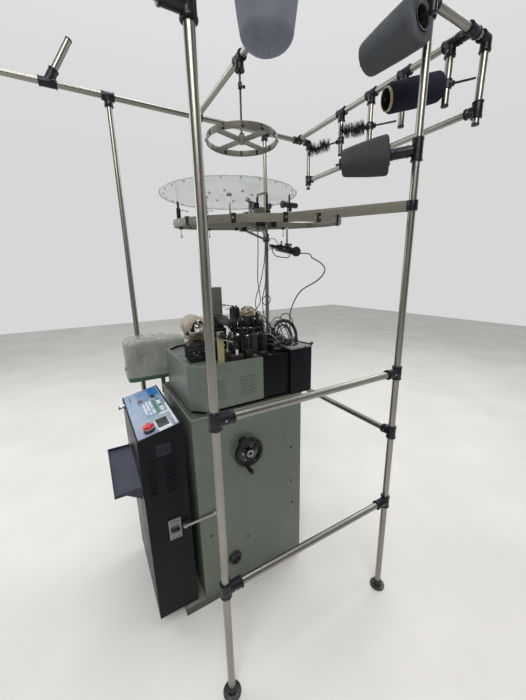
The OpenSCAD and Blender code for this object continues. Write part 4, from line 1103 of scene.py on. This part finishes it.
for x in (-225, 0, 216):
    for v in (11.5, 154.5):
        bl.screw(P0 @ Vector((x, v, 3)), P0.to_3x3() @ Vector((0, 0, 1)), 2.8, 1.4, 10, 11)
bl.make("control_panel", ["film", "foil", "lcd", "foil", "bluefield", "keygreen", "key", "keyblue", "keygreen", "orange", "zinc", "hole", "white", "lilac"],
        "control_unit", "panel_plate", "panel_plate")

bl = Build()
for y, z in [(-385, 860), (-261, 862), (-396, 66), (-258, 66)]:
    bl.screw((231, y, z), (1, 0, 0), 4.0, 2.2, 0, 1)
bl.box((227.6, -349, 796), (229, -293, 844), 0.4, 5)
for y in (-333, -309):
    bl.cyl((228.8, y, 820), (1, 0, 0), 0.6, 6.4, 1, 28, 0.1)
for y in (-333, -309):
    bl.ring((228.6, y, 820), (1, 0, 0), 1.8, 10.4, 8.6, 1, 28)
    bl.lathe([(0, 0), (8.4, 0), (8.4, 1.5), (0, 1.5)], 24, 1, align((222.5, y, 820), (1, 0, 0)))
for y in (-345, -297):
    bl.screw((228, y, 846), (1, 0, 0), 2.2, 1.2, 0, 1)
    bl.screw((228, y, 794), (1, 0, 0), 2.2, 1.2, 0, 1)
for i in range(8):
    for y0, y1, z in ((-384, -356, 650 + 19 * i), (-322, -278, 640 + 19 * i)):
        bl.add([(230.8, y0, z + 3), (230.8, y1, z + 3), (235.2, y1 - 1.5, z - 0.4), (235.2, y0 + 1.5, z - 0.4), (230.8, y0, z + 9), (230.8, y1, z + 9),
                (234.4, y1 - 1.5, z - 0.4), (234.4, y0 + 1.5, z - 0.4)],
               [(4, 5, 2, 3), (4, 3, 0), (5, 1, 2), (3, 2, 6, 7), (0, 1, 6, 7)], 4)
# three poles on the breaker
for i in range(3):
    y = -329.5 + 12.5 * i
    for z in (426, 500):
        bl.screw((238, y + 5.5, z), (1, 0, 0), 3.0, 0.8, 0, 1)
    bl.box((237.2, y + 12.0, 422), (238.6, y + 12.8, 448), 0.1, 3)
    bl.box((237.2, y + 12.0, 480), (238.6, y + 12.8, 506), 0.1, 3)
bl.box((237.6, -333, 509.5), (238.2, -289, 510.2), 0.1, 3)
bl.make("control_box_detail", ["darksteel", "hole", "grey", "black", "navy", "port"], "control_unit", slot="control_box")

# rings round the buttons and the key, screws of the tray's brackets
bl = Build()
NP = panel(0, 0, 1) @ Vector() - panel(0, 0, 0) @ Vector()
for x, v, ro, ri, m_ in ((190, 54, 21, 17.2, 3), (-97, 122, 12, 9.5, 0), (-94, 62, 12, 9.5, 0)):
    bl.ring(panel(x, v, 2.9) @ Vector(), NP, 5.6, ro, ri, m_, 44)
bl.ring(panel(190, 54, 2.9) @ Vector(), NP, 2.4, 17.4, 7.4, 3, 36)
bl.ring((-165, -407.8, 860), (0, -1, 0), 4.6, 13, 5.7, 0, 36, 0.8)
bl.ring((-165, -412, 860), (0, -1, 0), 1.2, 11.4, 6, 0, 32)
for x in (-80, 205):
    for z in (642, 676):
        bl.screw((x + 12, -409.5, z), (0, -1, 0), 2.6, 1.8, 1, 2)
bl.make("panel_rings", ["chrome", "zinc", "hole", "black"], "control_unit", slot="panel_plate")

# ------------------------------------------------------------------ hood
def hood_outline(x0, y0, x1, y1, r, n=8):
    pts = []
    for cx_, cy_, a0 in ((x1 - r, y1 - r, 0), (x0 + r, y1 - r, 90), (x0 + r, y0 + r, 180), (x1 - r, y0 + r, 270)):
        for k in range(n + 1):
            a = radians(a0 + 90 * k / n)
            pts.append((cx_ + r * cos(a), cy_ + r * sin(a)))
    return pts


def loft(b, rings, mat=0, top=True, bottom=False):
    n = len(rings[0])
    vs = [p for r_ in rings for p in r_]
    fs = [(i * n + k, i * n + (k + 1) % n, (i + 1) * n + (k + 1) % n, (i + 1) * n + k) for i in range(len(rings) - 1) for k in range(n)]
    if top:
        fs.append(tuple((len(rings) - 1) * n + k for k in range(n)))
    if bottom:
        fs.append(tuple(range(n - 1, -1, -1)))
    b.add(vs, fs, mat)


def hood_shell(b, off, z0, z1, rr, mat):
    rings = []
    for z in (z0, z0 + 50, z0 + 100, z1 - rr - 30):
        rings.append([(x, y, z) for x, y in hood_outline(-398 + off, -365 + off, -250 - off, -73 - off, 28 - off * 0.5)])
    for k in range(0, 9):
        a = radians(90 * k / 8)
        ins = rr * (1 - cos(a))
        z = z1 - rr + rr * sin(a)
        rings.append([(x, y, z) for x, y in hood_outline(-398 + off + ins, -365 + off + ins, -250 - off - ins, -73 - off - ins,
                                                         max(28 - off * 0.5 - ins * 0.25, 6))])
    loft(b, rings, mat)


bl = Build()
hood_shell(bl, 0, 958, 1150, 34, 0)
hood_shell(bl, 3, 958.0, 1147, 32, 0)
# the rim joins the outer and inner skins
o1 = hood_outline(-398, -365, -250, -73, 28)
o2 = hood_outline(-395, -362, -253, -76, 26.5)
n_ = len(o1)
bl.add([(x, y, 958) for x, y in o1] + [(x, y, 958) for x, y in o2], [(k, (k + 1) % n_, n_ + (k + 1) % n_, n_ + k) for k in range(n_)], 0)
bl.sweep(catmull([(x, y, 961) for x, y in o1] + [(*o1[0], 961)], 1), 1.6, 8, 1, caps=False)
# ribs moulded over the top
for y in (-318, -270, -222, -174, -126):
    pts = [(-396.5, y, 1010), (-397.6, y, 1090), (-396, y, 1118), (-388, y, 1139), (-366, y, 1149.4), (-324, y, 1150.4), (-282, y, 1149.4),
           (-260, y, 1139), (-252, y, 1118), (-250.4, y, 1090), (-251.5, y, 1010)]
    bl.sweep(catmull(pts, 4), 2.0, 8, 0)
# knuckle and thumb tab
bl.ring((-361, -66, 962), (1, 0, 0), 74, 6, 3.3, 1, 24)
bl.box((-361, -76, 958.6), (-287, -68.5, 966), 0.6, 1)
bl.box((-340, -372, 985), (-310, -364, 1000), 1.4, 1)
bl.make("hood_moulding", ["hood", "grey"], "hood_body", "hood", "hood", angle=40)
dress("hood_tray", ["hoodtray"], 1.0, 2, ang=34)
bl = Build()
for y in (-205, -120):
    for z in (868, 888):
        bl.screw((-252, y, z), (-1, 0, 0), 3.4, 2, 0, 1)
bl.make("hood_tray_screws", ["zinc", "hole"], "machine", slot="hood_tray")

# ------------------------------------------------------------------ creel tubes and joiners
for n_name in ("creel_posts", "creel_tubes", "top_loop"):
    dress(n_name, ["steel"], 0, ang=40)
dress("tube_joiners", ["joiner"], 1.2, 2, ang=40)
dress("loop_joiners", ["joiner"], 1.2, 2, ang=40)
dress("post_feet", ["black"], 1.5, 2)

TEES = [((XA, YA, RLO), "z", "y", 56), ((XA, YA, RMID), "z", "y", 56), ((XA, YA, 1965), "z", "-y", 60), ((XA, YA, LZ), "y", "-z", 40),
        ((XA, YB, RLO), "z", "-y", 56), ((XA, YB, RMID), "z", "-y", 56), ((XA, YB, RBACK), "z", "-x", 40), ((XA, YB, LZ), "y", "-z", 40),
        ((XF, YF_, LZ), "y", "-z", 40), ((XF, YB, LZ), "y", "-z", 40), ((XF, YB, RBACK), "z", "x", 40),
        ((XA, YC, LZ), "y", "-x", 40), ((XF, YC, LZ), "y", "x", 40), ((XC, YC, LZ), "x", "-z", 40), ((XA, -53, LZ), "y", "-z", 40),
        ((XA, YW, LZ), "y", "-x", 40), ((XF, YW, LZ), "y", "x", 40), ((XA, YW2, LAD), "z", "-x", 40), ((XF, YW2, LAD), "z", "x", 40)] + \
       [((x, YW, LZ), "x", "-z", 40) for x in STUBS]
bl = Build()


def collar(b, p, d, at):
    d = Vector(d)
    q = Vector(p) + d * (at - 6)
    b.lathe([(JR - 0.4, 0), (JR + 1.6, 1.2), (JR + 1.9, 3), (JR + 1.6, 4.8), (JR + 1.0, 6.2), (JR - 1.0, 6.4), (TR + 0.6, 6.4), (TR + 0.15, 5.6), (TR + 0.15, 2)],
            36, 0, align(q, d))


for p, a, b_, ln in TEES:
    collar(bl, p, AX[a], 26)
    collar(bl, p, -Vector(AX[a]), 26)
    collar(bl, p, AX[b_], ln)
    side = Vector(AX[a]).cross(Vector(AX[b_]))
    for sgn in (1, -1):
        q = Vector(p) + Vector(AX[b_]) * 27 + side * sgn * (JR - 0.6)
        bl.screw(q, side * sgn, 3.0, 2.0, 1, 2, "socket")
        bl.lathe([(JR * 0.2, 0), (5.4, 0), (5.0, 1.5), (3.2, 1.7)], 18, 0, align(Vector(p) + side * sgn * (JR - 0.9), side * sgn))
for p, dirs in (((XA, YW2, LZ), ("-y", "-z")), ((XF, YW2, LZ), ("-y", "-z"))):
    for d in dirs:
        collar(bl, p, AX[d], 36)
dd = RX(-30) @ Vector((0, 0, 1))
collar(bl, (XF, -503, LZ), (0, 1, 0), 32)
collar(bl, (XF, -503, LZ), (0, -1, 0), 32)
collar(bl, (XF, -503, LZ), dd, 58)
bl.make("joiner_collars", ["joiner", "zinc", "hole"], "machine", slot="tube_joiners")

# ------------------------------------------------------------------ cone pegs and brushes
bl = Build()
for k in (0, 1, 2):
    q = PEGS[k]
    A = peg(q)
    bl.ring((q[0], q[1], q[2] - 14), (0, 0, 1), 28, 17, TR + 0.05, 0, 40, 1.5)
    bl.lathe([(9.5, 11), (9.5, 24), (8.2, 26), (4, 26)], 28, 0, A)
    bl.lathe([(4, 15.5), (4, q[5] - 2), (2.6, q[5]), (0, q[5])], 20, 1, A)
    if k < 2:
        bl.lathe([(0, -112), (2.8, -111.6), (4, -109.5), (4, -14)], 20, 1, A)
        bl.lathe([(4, -28), (8.2, -27), (9.5, -25), (9.5, -12)], 28, 0, A)
    bd = Vector((0, 0, 1)).cross(A.to_3x3() @ Vector((0, 0, 1))).normalized()
    bl.screw(Vector(q[:3]) + bd * 16.4, bd, 3.4, 3, 2, 3, "socket")
# socket of the charcoal cone
q = PEGS[3]
A = peg(q)
bl.ring((q[0], q[1], q[2] - 31), (0, 0, 1), 62, JR, TR + 0.05, 0, 44, 1.2)
bl.lathe([(JR, 13.5), (JR, 81), (JR - 1.2, 84.6), (JR - 3, 85), (4, 85)], 40, 0, A)
for z in (26, 74):
    bl.ring(A @ Vector((0, 0, z)), A.to_3x3() @ Vector((0, 0, 1)), 6, JR + 1.5, JR - 0.5, 0, 40, 1.2)
bl.ring((q[0], q[1], q[2] - 34), (0, 0, 1), 6, JR + 1.5, TR + 0.05, 0, 40, 1.2)
bl.ring((q[0], q[1], q[2] + 28), (0, 0, 1), 6, JR + 1.5, TR + 0.05, 0, 40, 1.2)
bl.lathe([(4, 84), (4, q[5] - 2), (2.6, q[5]), (0, q[5])], 20, 1, A)
# hanger of the dark cone
q = PEGS[4]
A = peg(q)
bl.ring((XA, 426, LZ), (0, 1, 0), 28, JR + 1, TR + 0.05, 0, 44, 1.5)
bl.cyl((XA + JR - 1, 440, LZ), (1, 0, 0), 64 - JR, 8, 1, 24, 1.5)
bl.cyl((XA + JR - 2, 440, LZ), (1, 0, 0), 12, 11, 0, 28, 2)
bl.cyl((630, 440, 2124), (0, 0, 1), 99, 8.5, 1, 28, 3)
bl.ring((630, 440, 2128), (0, 0, 1), 22, 10.5, 8.4, 0, 28, 1.5)
bl.lathe([(4, 7), (4, q[5] - 2), (2.6, q[5]), (0, q[5])], 20, 1, A)
bl.screw((638.4, 440, 2190), (1, 0, 0), 3.4, 2.6, 2, 3, "socket")
BR = {1: 22, 2: 56}
for k in (1, 2):
    A = peg(PEGS[k])
    z0 = BR[k]
    bl.lathe([(4, z0), (6, z0 + 2), (6.4, z0 + 5), (6.4, z0 + 99), (6, z0 + 102), (4.5, z0 + 104)], 24, 1, A)
random.seed(5)
for k in (1, 2):
    A = peg(PEGS[k])
    for i in range(1700):
        z = BR[k] + 3 + 98 * ((i + random.uniform(0, 0.6)) / 1500)
        a = random.uniform(0, 2 * pi)
        if mnoise.noise(Vector((1.6 * cos(a) + k * 7, 1.6 * sin(a), z * 0.085))) < -0.12:
            continue
        Lr = random.uniform(24, 36) if random.random() > 0.3 else random.uniform(14, 24)
        tilt = random.uniform(-0.3, 0.3)
        base = Vector((5.0 * cos(a), 5.0 * sin(a), z))
        dirv = Vector((cos(a + random.uniform(-0.12, 0.12)), sin(a), tilt)).normalized()
        tip = base + dirv * (Lr - 5)
        u_ = dirv.cross(Vector((0, 0, 1))).normalized()
        w_ = dirv.cross(u_)
        r0 = random.uniform(0.5, 0.75)
        vs = [A @ (base + r0 * (u_ * cos(t) + w_ * sin(t))) for t in (0, 2.094, 4.189)] + \
             [A @ (tip + 0.34 * (u_ * cos(t) + w_ * sin(t))) for t in (0, 2.094, 4.189)]
        bl.add(vs, [(0, 1, 4, 3), (1, 2, 5, 4), (2, 0, 3, 5), (3, 4, 5), (2, 1, 0)], 4)
bl.make("cone_pegs_brushes", ["joiner", "black", "zinc", "hole", "bristle"], "machine", "cone_pegs", "cone_pegs")


# ------------------------------------------------------------------ yarn cones
def cone(name, node, q, s0, L, rb, rt, bb, bt, mat, core, tipr=0.0, plug=False, seed=0):
    b = Build()
    pr = [(bb + 1.5, s0 - 2.5, 1), (bb + 4.0, s0 - 3.0, 1), (bb + 4.5, s0 + 1, 0)]
    pr += [(rb - 12, s0 + 0.6, 0), (rb - 6, s0 + 1.8, 0), (rb - 2.2, s0 + 5.0, 0), (rb - 0.4, s0 + 9.5, 0)]
    for k in range(1, 23):
        t = k / 23
        z = s0 + 9.5 + (L - 20) * t
        pr.append((rb + (rt - rb) * t + 1.6 * sin(pi * t), z, 0))
    pr += [(rt - 0.2, s0 + L - 10, 0), (rt - 2.4, s0 + L - 4.8, 0), (rt - 6.5, s0 + L - 1.6, 0), (rt - 12, s0 + L - 0.4, 0), (bt + 5.5, s0 + L - 0.2, 0)]
    pr += [(bt + 4.2 + tipr, s0 + L - 0.4, 1), (bt + 4.2 + tipr, s0 + L + 6.8, 1), (bt + 3.2 + tipr, s0 + L + 8.0, 1), (bt + 0.6 + tipr, s0 + L + 8.0, 1),
           (bt + tipr, s0 + L + 6.6, 2)]
    # the core's bore takes the near-black hole material: painted shade
    pr += [(bt + (bb - bt) * 0.5, s0 + L * 0.5, 2), (bb, s0 - 2, 2)]

    def wob(a, z):
        if z < s0 + 3 or z > s0 + L - 1:
            return 0.0
        return 0.9 * mnoise.noise(Vector((2 * cos(a) + seed, 2 * sin(a), z * 0.02))) + \
            0.35 * mnoise.noise(Vector((9 * cos(a) + seed, 9 * sin(a), z * 0.16)))
    b.lathe(pr, 96, 0, None, closed=True, wob=wob)
    if plug:
        b.lathe([(4.2, s0 + L + 3), (11, s0 + L + 3), (12.5, s0 + L + 8), (11, s0 + L + 13), (8.2, s0 + L + 15), (8.2, s0 + L + 19), (4.2, s0 + L + 19)], 24, 3, None)
        b.lathe([(0, s0 + L + 2), (bt - 0.6, s0 + L + 2), (bt - 0.6, s0 + L + 4), (4.2, s0 + L + 4)], 24, 3, None)
    place = peg(q)
    place = Matrix.Translation(place.to_translation() * 0.001) @ place.to_3x3().to_4x4()
    return b.make(name, [mat, core, "hole", "black"], "machine", node, node, angle=50, place=place)


cone("cone_black_yarn", "cone_black", PEGS[0], 30, 195, 46, 46, 18, 33, "y_black", "card", seed=1)
cone("cone_charcoal_yarn", "cone_charcoal", PEGS[3], 86, 155, 61, 43, 28, 13, "y_charcoal", "y_charcoal", seed=4)
cone("cone_dark_yarn", "cone_dark", PEGS[4], 30, 185, 63, 49, 28, 13, "y_dark", "black", plug=True, seed=9)

b = Build()
pr = [(0, -37.2, 0)]
for k in range(1, 13):
    t = radians(90 * k / 13)
    pr.append((62 * sin(t), -37.2 * cos(t), 0))
for k in range(0, 25):
    t = k / 25
    pr.append((62 + 24 * t + 1.4 * sin(pi * t), 190 * t, 0))
# the bore below the top takes the near-black hole material: painted shade
pr += [(86, 190, 0), (84.5, 192.6, 0), (80, 194.4, 0), (72, 195, 0), (33, 195, 0), (31, 193, 1), (29, 190, 1), (13, 56, 1), (0, 55, 1)]
b.lathe(pr, 112, 0, None, wob=lambda a, z: 0 if (z > 189 or z < -36) else 0.8 * mnoise.noise(Vector((1.6 * cos(a), 1.6 * sin(a), z * 0.015))))
b.make("cone_grey_yarn", ["y_grey", "hole"], "machine", "cone_grey", "cone_grey", angle=50, place=Matrix.Translation((0.567, -0.053, 1.975)))


# ------------------------------------------------------------------ hoop, disc, ring, feeder
HT = T(101, 172, 1634) @ RZ(60.33) @ RX(5.2) @ RZ(-60.33)
HTI = HT.inverted()


def hoop_pick(c, n):
    for x, y in ((XA, YB), (XF, YB)):
        if math.hypot(c.x - x, c.y - y) < 19.5:
            return 1
    q = HTI @ Vector(c)
    if math.hypot(q.x, q.y) > 340:
        return 2
    for x, y in ((268, -118), (-91, -102)):
        if math.hypot(c.x - x, c.y - y) < 9.5:
            return 1
    for x, y in ((268, -118), (-91, -102), (81, 57)):
        if math.hypot(c.x - x, c.y - y) < 5.8 and c.z > 1660:
            return 3
    return 0


dress("guide_hoop", ["hoop", "joiner", "hooparm", "steel2"], 0.6, 2, ang=32, pick=hoop_pick)
dress("yarn_ring", ["hoop", "blackgloss", "joiner"], 0.5, 2, ang=32,
      pick=lambda c, n: (2 if (c.z > 2100) else 1) if (math.hypot(c.x - XC, c.y - YC) < 13.2 and c.z > 1966.5) else 0)
dress("feeder_body", ["black", "zinc"], 1.0, 2, pick=lambda c, n: 1 if c.z > 1572 else 0)
dress("feeder_roller", ["black"], 1.0, 2)

bl = Build()
seg = 160
R_ = 266
prof = [(0, 0, 0), (262, 0, 0), (R_ - 0.8, 0, 1), (R_, 0.8, 1), (R_, 3.2, 1), (R_ - 0.8, 4, 1), (262, 4, 0), (0, 4, 0)]
bl.lathe(prof, seg, 0, T(81, 57, 1743))
bl.lathe([(0, 4), (11, 4), (11, 10.2), (10, 11), (0, 11)], 32, 2, T(81, 57, 1743))
bl.lathe([(0, 11), (6.5, 11), (6.5, 16), (0, 16)], 6, 3, T(81, 57, 1743))
for i in range(24):
    a = radians(15 * i)
    p = (81 + 250 * cos(a), 57 + 250 * sin(a), 1742.4)
    bl.ring(p, (0, 0, 1), 5.2, 3.0, 2.0, 1, 16)
for i in range(8):
    a = radians(45 * i + 10)
    p = (81 + 90 * cos(a), 57 + 90 * sin(a), 1742.4)
    bl.ring(p, (0, 0, 1), 5.2, 5.2, 4.2, 1, 20)
bl.make("guide_disc_clear", ["acrylic", "acrylic_edge", "black", "zinc"], "machine", "guide_disc", "guide_disc")

# small fittings on the hoop: clamps, hook rods and eyelets
bl = Build()
HX, HY = 101, 172


bl.box((HX - 26, HY - 24, 1618), (HX + 24, HY + 24, 1706), 2, 0)
for dx, dy in ((-16, -24), (14, -24), (-16, 24), (14, 24)):
    for z in (1634, 1690):
        bl.screw((HX + dx, HY + dy, z), (0, -1 if dy < 0 else 1, 0), 5, 5, 2, 3, "hex")
bl.box((HX + 2, HY - 30, 1700), (HX + 26, HY - 4, 1722), 1.5, 4)
# bent rod over the hub with its clamp
bl.sweep(catmull([(102, 172, 1700), (102, 172, 1740), (106, 172, 1751), (116, 172, 1754), (140, 172, 1752), (166, 172, 1750), (176, 172, 1746), (179, 172, 1736),
                  (178, 172, 1675)], 4), 4.4, 10, 5)
bl.box((166, 162, 1656), (190, 182, 1686), 1.6, 4)
bl.screw((190, 172, 1671), (1, 0, 0), 4, 4, 2, 3, "socket")
bl.lathe([(0, 0), (9, 0), (11, 2), (11, 9), (9, 11), (0, 11)], 24, 4, align((188, 172, 1698), (0, 1, 0)))
# clamp with a knob left of the hub
bl.box((38, 164, 1672), (54, 180, 1742), 1.6, 4)
bl.lathe([(0, 0), (10, 0), (12, 2), (12, 8), (10, 10), (0, 10)], 24, 4, align((54, 172, 1722), (1, 0, 0)))
bl.rod((46, 172, 1738), (22, 172, 1752), 4, 5)
bl.lathe([(0, 0), (7, 0.6), (9, 4), (9, 10), (6, 13), (0, 13.4)], 20, 4, align((24, 172, 1751), (-1, 0, 0.5)))
# light block on the rim, small black cylinder on its bracket, low block
bl.box((-14, 158, 1660), (22, 186, 1706), 2.4, 6)
bl.screw((4, 158, 1683), (0, -1, 0), 5, 4, 2, 3, "hex")
bl.box((324, 166, 1655), (340, 178, 1684), 1.4, 4)
bl.cyl((332, 146, 1676), (0, 1, 0), 58, 9, 4, 24, 1.5)
bl.cyl((332, 140, 1676), (0, 1, 0), 8, 12, 5, 24, 1.5)
bl.cyl((332, 172, 1684), (0, 0, 1), 26, 3, 5, 14)
bl.box((200, 160, 1616), (230, 184, 1646), 1.6, 5)
# black strut from the hub to the far post, with its clamp
d_ = Vector((-414 + 37, 517 - 172, 0)).normalized()
bl.rod((-37, 172, 1641), Vector((-414, 517, 1641)) - d_ * 20, 6, 4)
bl.ring((-414, 517, 1630), (0, 0, 1), 22, 21, TR + 0.15, 4, 36, 2)
bl.box((-52, 160, 1632), (-24, 186, 1656), 1.6, 4)
for a in (8, 30, 62, 128, 170, 196, 232, 285, 318, 346):
    A = HT @ RZ(a)
    n_x = A.to_3x3() @ Vector((1, 0, 0))
    n_z = A.to_3x3() @ Vector((0, 0, 1))
    bl.box((328, -7, -2), (343, 7, 28), 1.0, 1, A)
    bl.screw(A @ Vector((343, 0, 13)), n_x, 3.4, 3.2, 2, 3, "socket")
    top = 58 if a in (30, 128, 232, 318) else 84
    w = A @ Vector((349, 0, 0))
    if math.hypot(w.x - 81, w.y - 57) < 290:
        top = 70
    if a not in (128, 196, 232):
        continue
    bl.rod(A @ Vector((336, 0, 26)), A @ Vector((336, 0, top)), 1.8, 2)
    bl.sweep(catmull([A @ Vector(p) for p in ((336, 0, top - 2), (334, 0, top + 2), (328, 0, top + 3), (312, 0, top + 2), (304, 0, top - 1))], 4), 1.6, 8, 2)
    bl.ring(A @ Vector((300, 0, top - 3)), n_z, 2.6, 4.4, 2.4, 4, 18)
    bl.rod(A @ Vector((336, 0, 0)), A @ Vector((336, 0, -26)), 1.6, 2)
    bl.ring(A @ Vector((336, -1.3, -31)), A.to_3x3() @ Vector((0, 1, 0)), 2.6, 5, 2.8, 4, 18)
# small bolts along the rim
for i in range(20):
    A = HT @ RZ(18 * i + 5)
    bl.screw(A @ Vector((338, 0, 12.5)), A.to_3x3() @ Vector((1, 0, 0)), 3.0, 2.2, 2, 3, "hex")
bl.make("hoop_fittings", ["hoop", "darksteel", "zinc", "hole", "black", "darksteel", "lid"], "machine", slot="guide_hoop")

# yarn ring: eyelets and rivets
bl = Build()
for i in range(12):
    A = T(XC, YC, 0) @ RZ(30 * i + 5)
    bl.box((133.0, -5, 1940), (139.4, 5, 1958), 0.6, 1, A)
    bl.ring(A @ Vector((139.2, 0, 1949)), A.to_3x3() @ Vector((1, 0, 0)), 5, 4.2, 2.2, 0, 16)
bl.cyl((XC, YC, 1966), (0, 0, 1), 8, 9, 1, 6)
bl.cyl((XC, YC + 6, 2130), (0, 1, 0), 9, 3.2, 2, 14)
bl.lathe([(0, 0), (6, 0), (6.4, 4), (4, 7), (0, 7)], 18, 2, align((XC, YC + 14, 2130), (0, 1, 0)))
bl.make("yarn_ring_fittings", ["grey", "darksteel", "black"], "machine", slot="yarn_ring")

# feeder: wire loops, tension washers, cable gland
bl = Build()
loop1 = [(56, 264, 1550), (56, 252, 1556), (57, 240, 1552), (58, 236, 1541), (58, 244, 1531), (57, 256, 1532), (56, 266, 1538), (55, 290, 1540)]
bl.sweep(catmull(loop1, 6), 1.5, 8, 1)
arc = [(52, 300, 1560), (50, 296, 1574), (47, 282, 1584), (45, 266, 1583), (45, 252, 1572), (47, 246, 1558), (50, 250, 1548)]
bl.sweep(catmull(arc, 6), 1.5, 8, 1)
low = [(54, 272, 1544), (54, 278, 1528), (54, 290, 1516), (54, 306, 1511), (54, 340, 1513), (54, 362, 1516), (54, 372, 1524), (54, 374, 1538)]
bl.sweep(catmull(low, 6), 2.2, 8, 1)
for y in (318, 372):
    bl.lathe([(0, 0), (9, 0), (9.5, 1), (7, 2), (7, 3), (9.5, 4), (9, 5), (0, 5)], 24, 0, align((54, y, 1562), (0, 0, 1)))
    bl.cyl((54, y, 1567), (0, 0, 1), 9, 3.2, 0, 14)
    bl.cyl((54, y, 1576), (0, 0, 1), 5, 5, 1, 16)
bl.coil((54, 318, 1567), (0, 0, 1), 8, 4.4, 4, 0.5, 0)
bl.box((50, 338, 1561), (74, 357, 1576), 1.2, 1)
bl.screw((74, 347, 1568), (1, 0, 0), 3.4, 3, 2, 3, "socket")
bl.cyl((54, 405, 1549), (0, 1, 0), 5, 8, 1, 20)
bl.lathe([(7.4, 0), (7.4, 6), (4, 12), (2.55, 12.6)], 20, 1, align((54, 408, 1549), (0, 1, 0)))
bl.screw((68, 330, 1549), (1, 0, 0), 4, 2.4, 2, 3)
bl.screw((68, 372, 1554), (1, 0, 0), 3, 2.0, 2, 3)
bl.box((66, 340, 1540), (69.2, 362, 1558), 0.8, 1)
FT = T(0, 347, 1562) @ RX(-10) @ T(0, -347, -1562)
bl.v = [tuple(FT @ Vector(q_)) for q_ in bl.v]
bl.make("feeder_detail", ["steel2", "black", "zinc", "hole"], "machine", slot="feeder_body")

# ------------------------------------------------------------------ floor, lights, world
me = bpy.data.meshes.new("floor")
me.from_pydata([(-9, -9, -0.0004), (9, -9, -0.0004), (9, 9, -0.0004), (-9, 9, -0.0004)], [], [(0, 1, 2, 3)])
floor = bpy.data.objects.new("floor", me)
me.materials.append(M["floor"].m)
scene.collection.objects.link(floor)


def area(name, loc, target, size, power, colr=(1, 1, 1)):
    ld = bpy.data.lights.new(name, "AREA")
    ld.shape = "SQUARE"
    ld.size = size
    ld.energy = power
    ld.color = colr
    lo_ = bpy.data.objects.new(name, ld)
    scene.collection.objects.link(lo_)
    lo_.location = loc
    lo_.rotation_mode = "QUATERNION"
    lo_.rotation_quaternion = (Vector(target) - Vector(loc)).to_track_quat("-Z", "Y")
    return lo_


area("key", (3.2, -1.6, 4.2), (0, 0.1, 1.1), 2.4, 120, (1.0, 0.98, 0.95))
area("fill", (-3.0, -3.2, 2.8), (0, 0, 1.1), 2.6, 55, (0.95, 0.98, 1.0))
area("back", (-1.0, 3.8, 3.8), (0, 0.2, 1.3), 2.4, 60, (1, 1, 1))
area("top", (0.2, 0.1, 5.2), (0.2, 0.1, 1.0), 2.2, 70, (1, 1, 1))
world = bpy.data.worlds.new("studio")
scene.world = world
world.use_nodes = True
wt = world.node_tree
bg = wt.nodes["Background"]
tcw = wt.nodes.new("ShaderNodeTexCoord")


def wnode(kind, **kw):
    n = wt.nodes.new(kind)
    for k_, v_ in kw.items():
        setattr(n, k_, v_)
    return n


dotn = wnode("ShaderNodeVectorMath", operation="DOT_PRODUCT")
wt.links.new(tcw.outputs["Generated"], dotn.inputs[0])
dotn.inputs[1].default_value = (0.84, -0.48, 0.10)
mr = wnode("ShaderNodeMapRange", interpolation_type="SMOOTHSTEP")
wt.links.new(dotn.outputs["Value"], mr.inputs["Value"])
for k_, v_ in (("From Min", -0.45), ("From Max", 0.55), ("To Min", 0.68), ("To Max", 0.26)):
    mr.inputs[k_].default_value = v_
sepw = wt.nodes.new("ShaderNodeSeparateXYZ")
wt.links.new(tcw.outputs["Generated"], sepw.inputs[0])
upr = wnode("ShaderNodeMapRange", interpolation_type="SMOOTHSTEP")
wt.links.new(sepw.outputs["Z"], upr.inputs["Value"])
for k_, v_ in (("From Min", 0.25), ("From Max", 0.95), ("To Min", 0.0), ("To Max", 0.16)):
    upr.inputs[k_].default_value = v_
adw = wnode("ShaderNodeMath", operation="ADD")
wt.links.new(mr.outputs["Result"], adw.inputs[0])
wt.links.new(upr.outputs["Result"], adw.inputs[1])
# upright bands that only reflections see, so that polished tubes show streaks
azw = wnode("ShaderNodeMath", operation="ARCTAN2")
wt.links.new(sepw.outputs["Y"], azw.inputs[0])
wt.links.new(sepw.outputs["X"], azw.inputs[1])
ang = wnode("ShaderNodeMath", operation="MULTIPLY_ADD")
wt.links.new(azw.outputs[0], ang.inputs[0])
ang.inputs[1].default_value = 3.0
ang.inputs[2].default_value = 4.29
sinw = wnode("ShaderNodeMath", operation="SINE")
wt.links.new(ang.outputs[0], sinw.inputs[0])
band = wnode("ShaderNodeMapRange", interpolation_type="SMOOTHSTEP")
wt.links.new(sinw.outputs[0], band.inputs["Value"])
for k_, v_ in (("From Min", -0.9), ("From Max", 0.9), ("To Min", -0.6), ("To Max", 0.45)):
    band.inputs[k_].default_value = v_
lpw = wt.nodes.new("ShaderNodeLightPath")
glw = wnode("ShaderNodeMath", operation="MULTIPLY_ADD")
wt.links.new(band.outputs["Result"], glw.inputs[0])
wt.links.new(lpw.outputs["Is Glossy Ray"], glw.inputs[1])
glw.inputs[2].default_value = 1.0
alw = wnode("ShaderNodeMath", operation="MULTIPLY")
wt.links.new(adw.outputs[0], alw.inputs[0])
wt.links.new(glw.outputs[0], alw.inputs[1])
cmb = wt.nodes.new("ShaderNodeCombineXYZ")
for k_ in (0, 1, 2):
    wt.links.new(alw.outputs[0], cmb.inputs[k_])
wt.links.new(cmb.outputs[0], bg.inputs["Color"])
bg.inputs["Strength"].default_value = 1.0
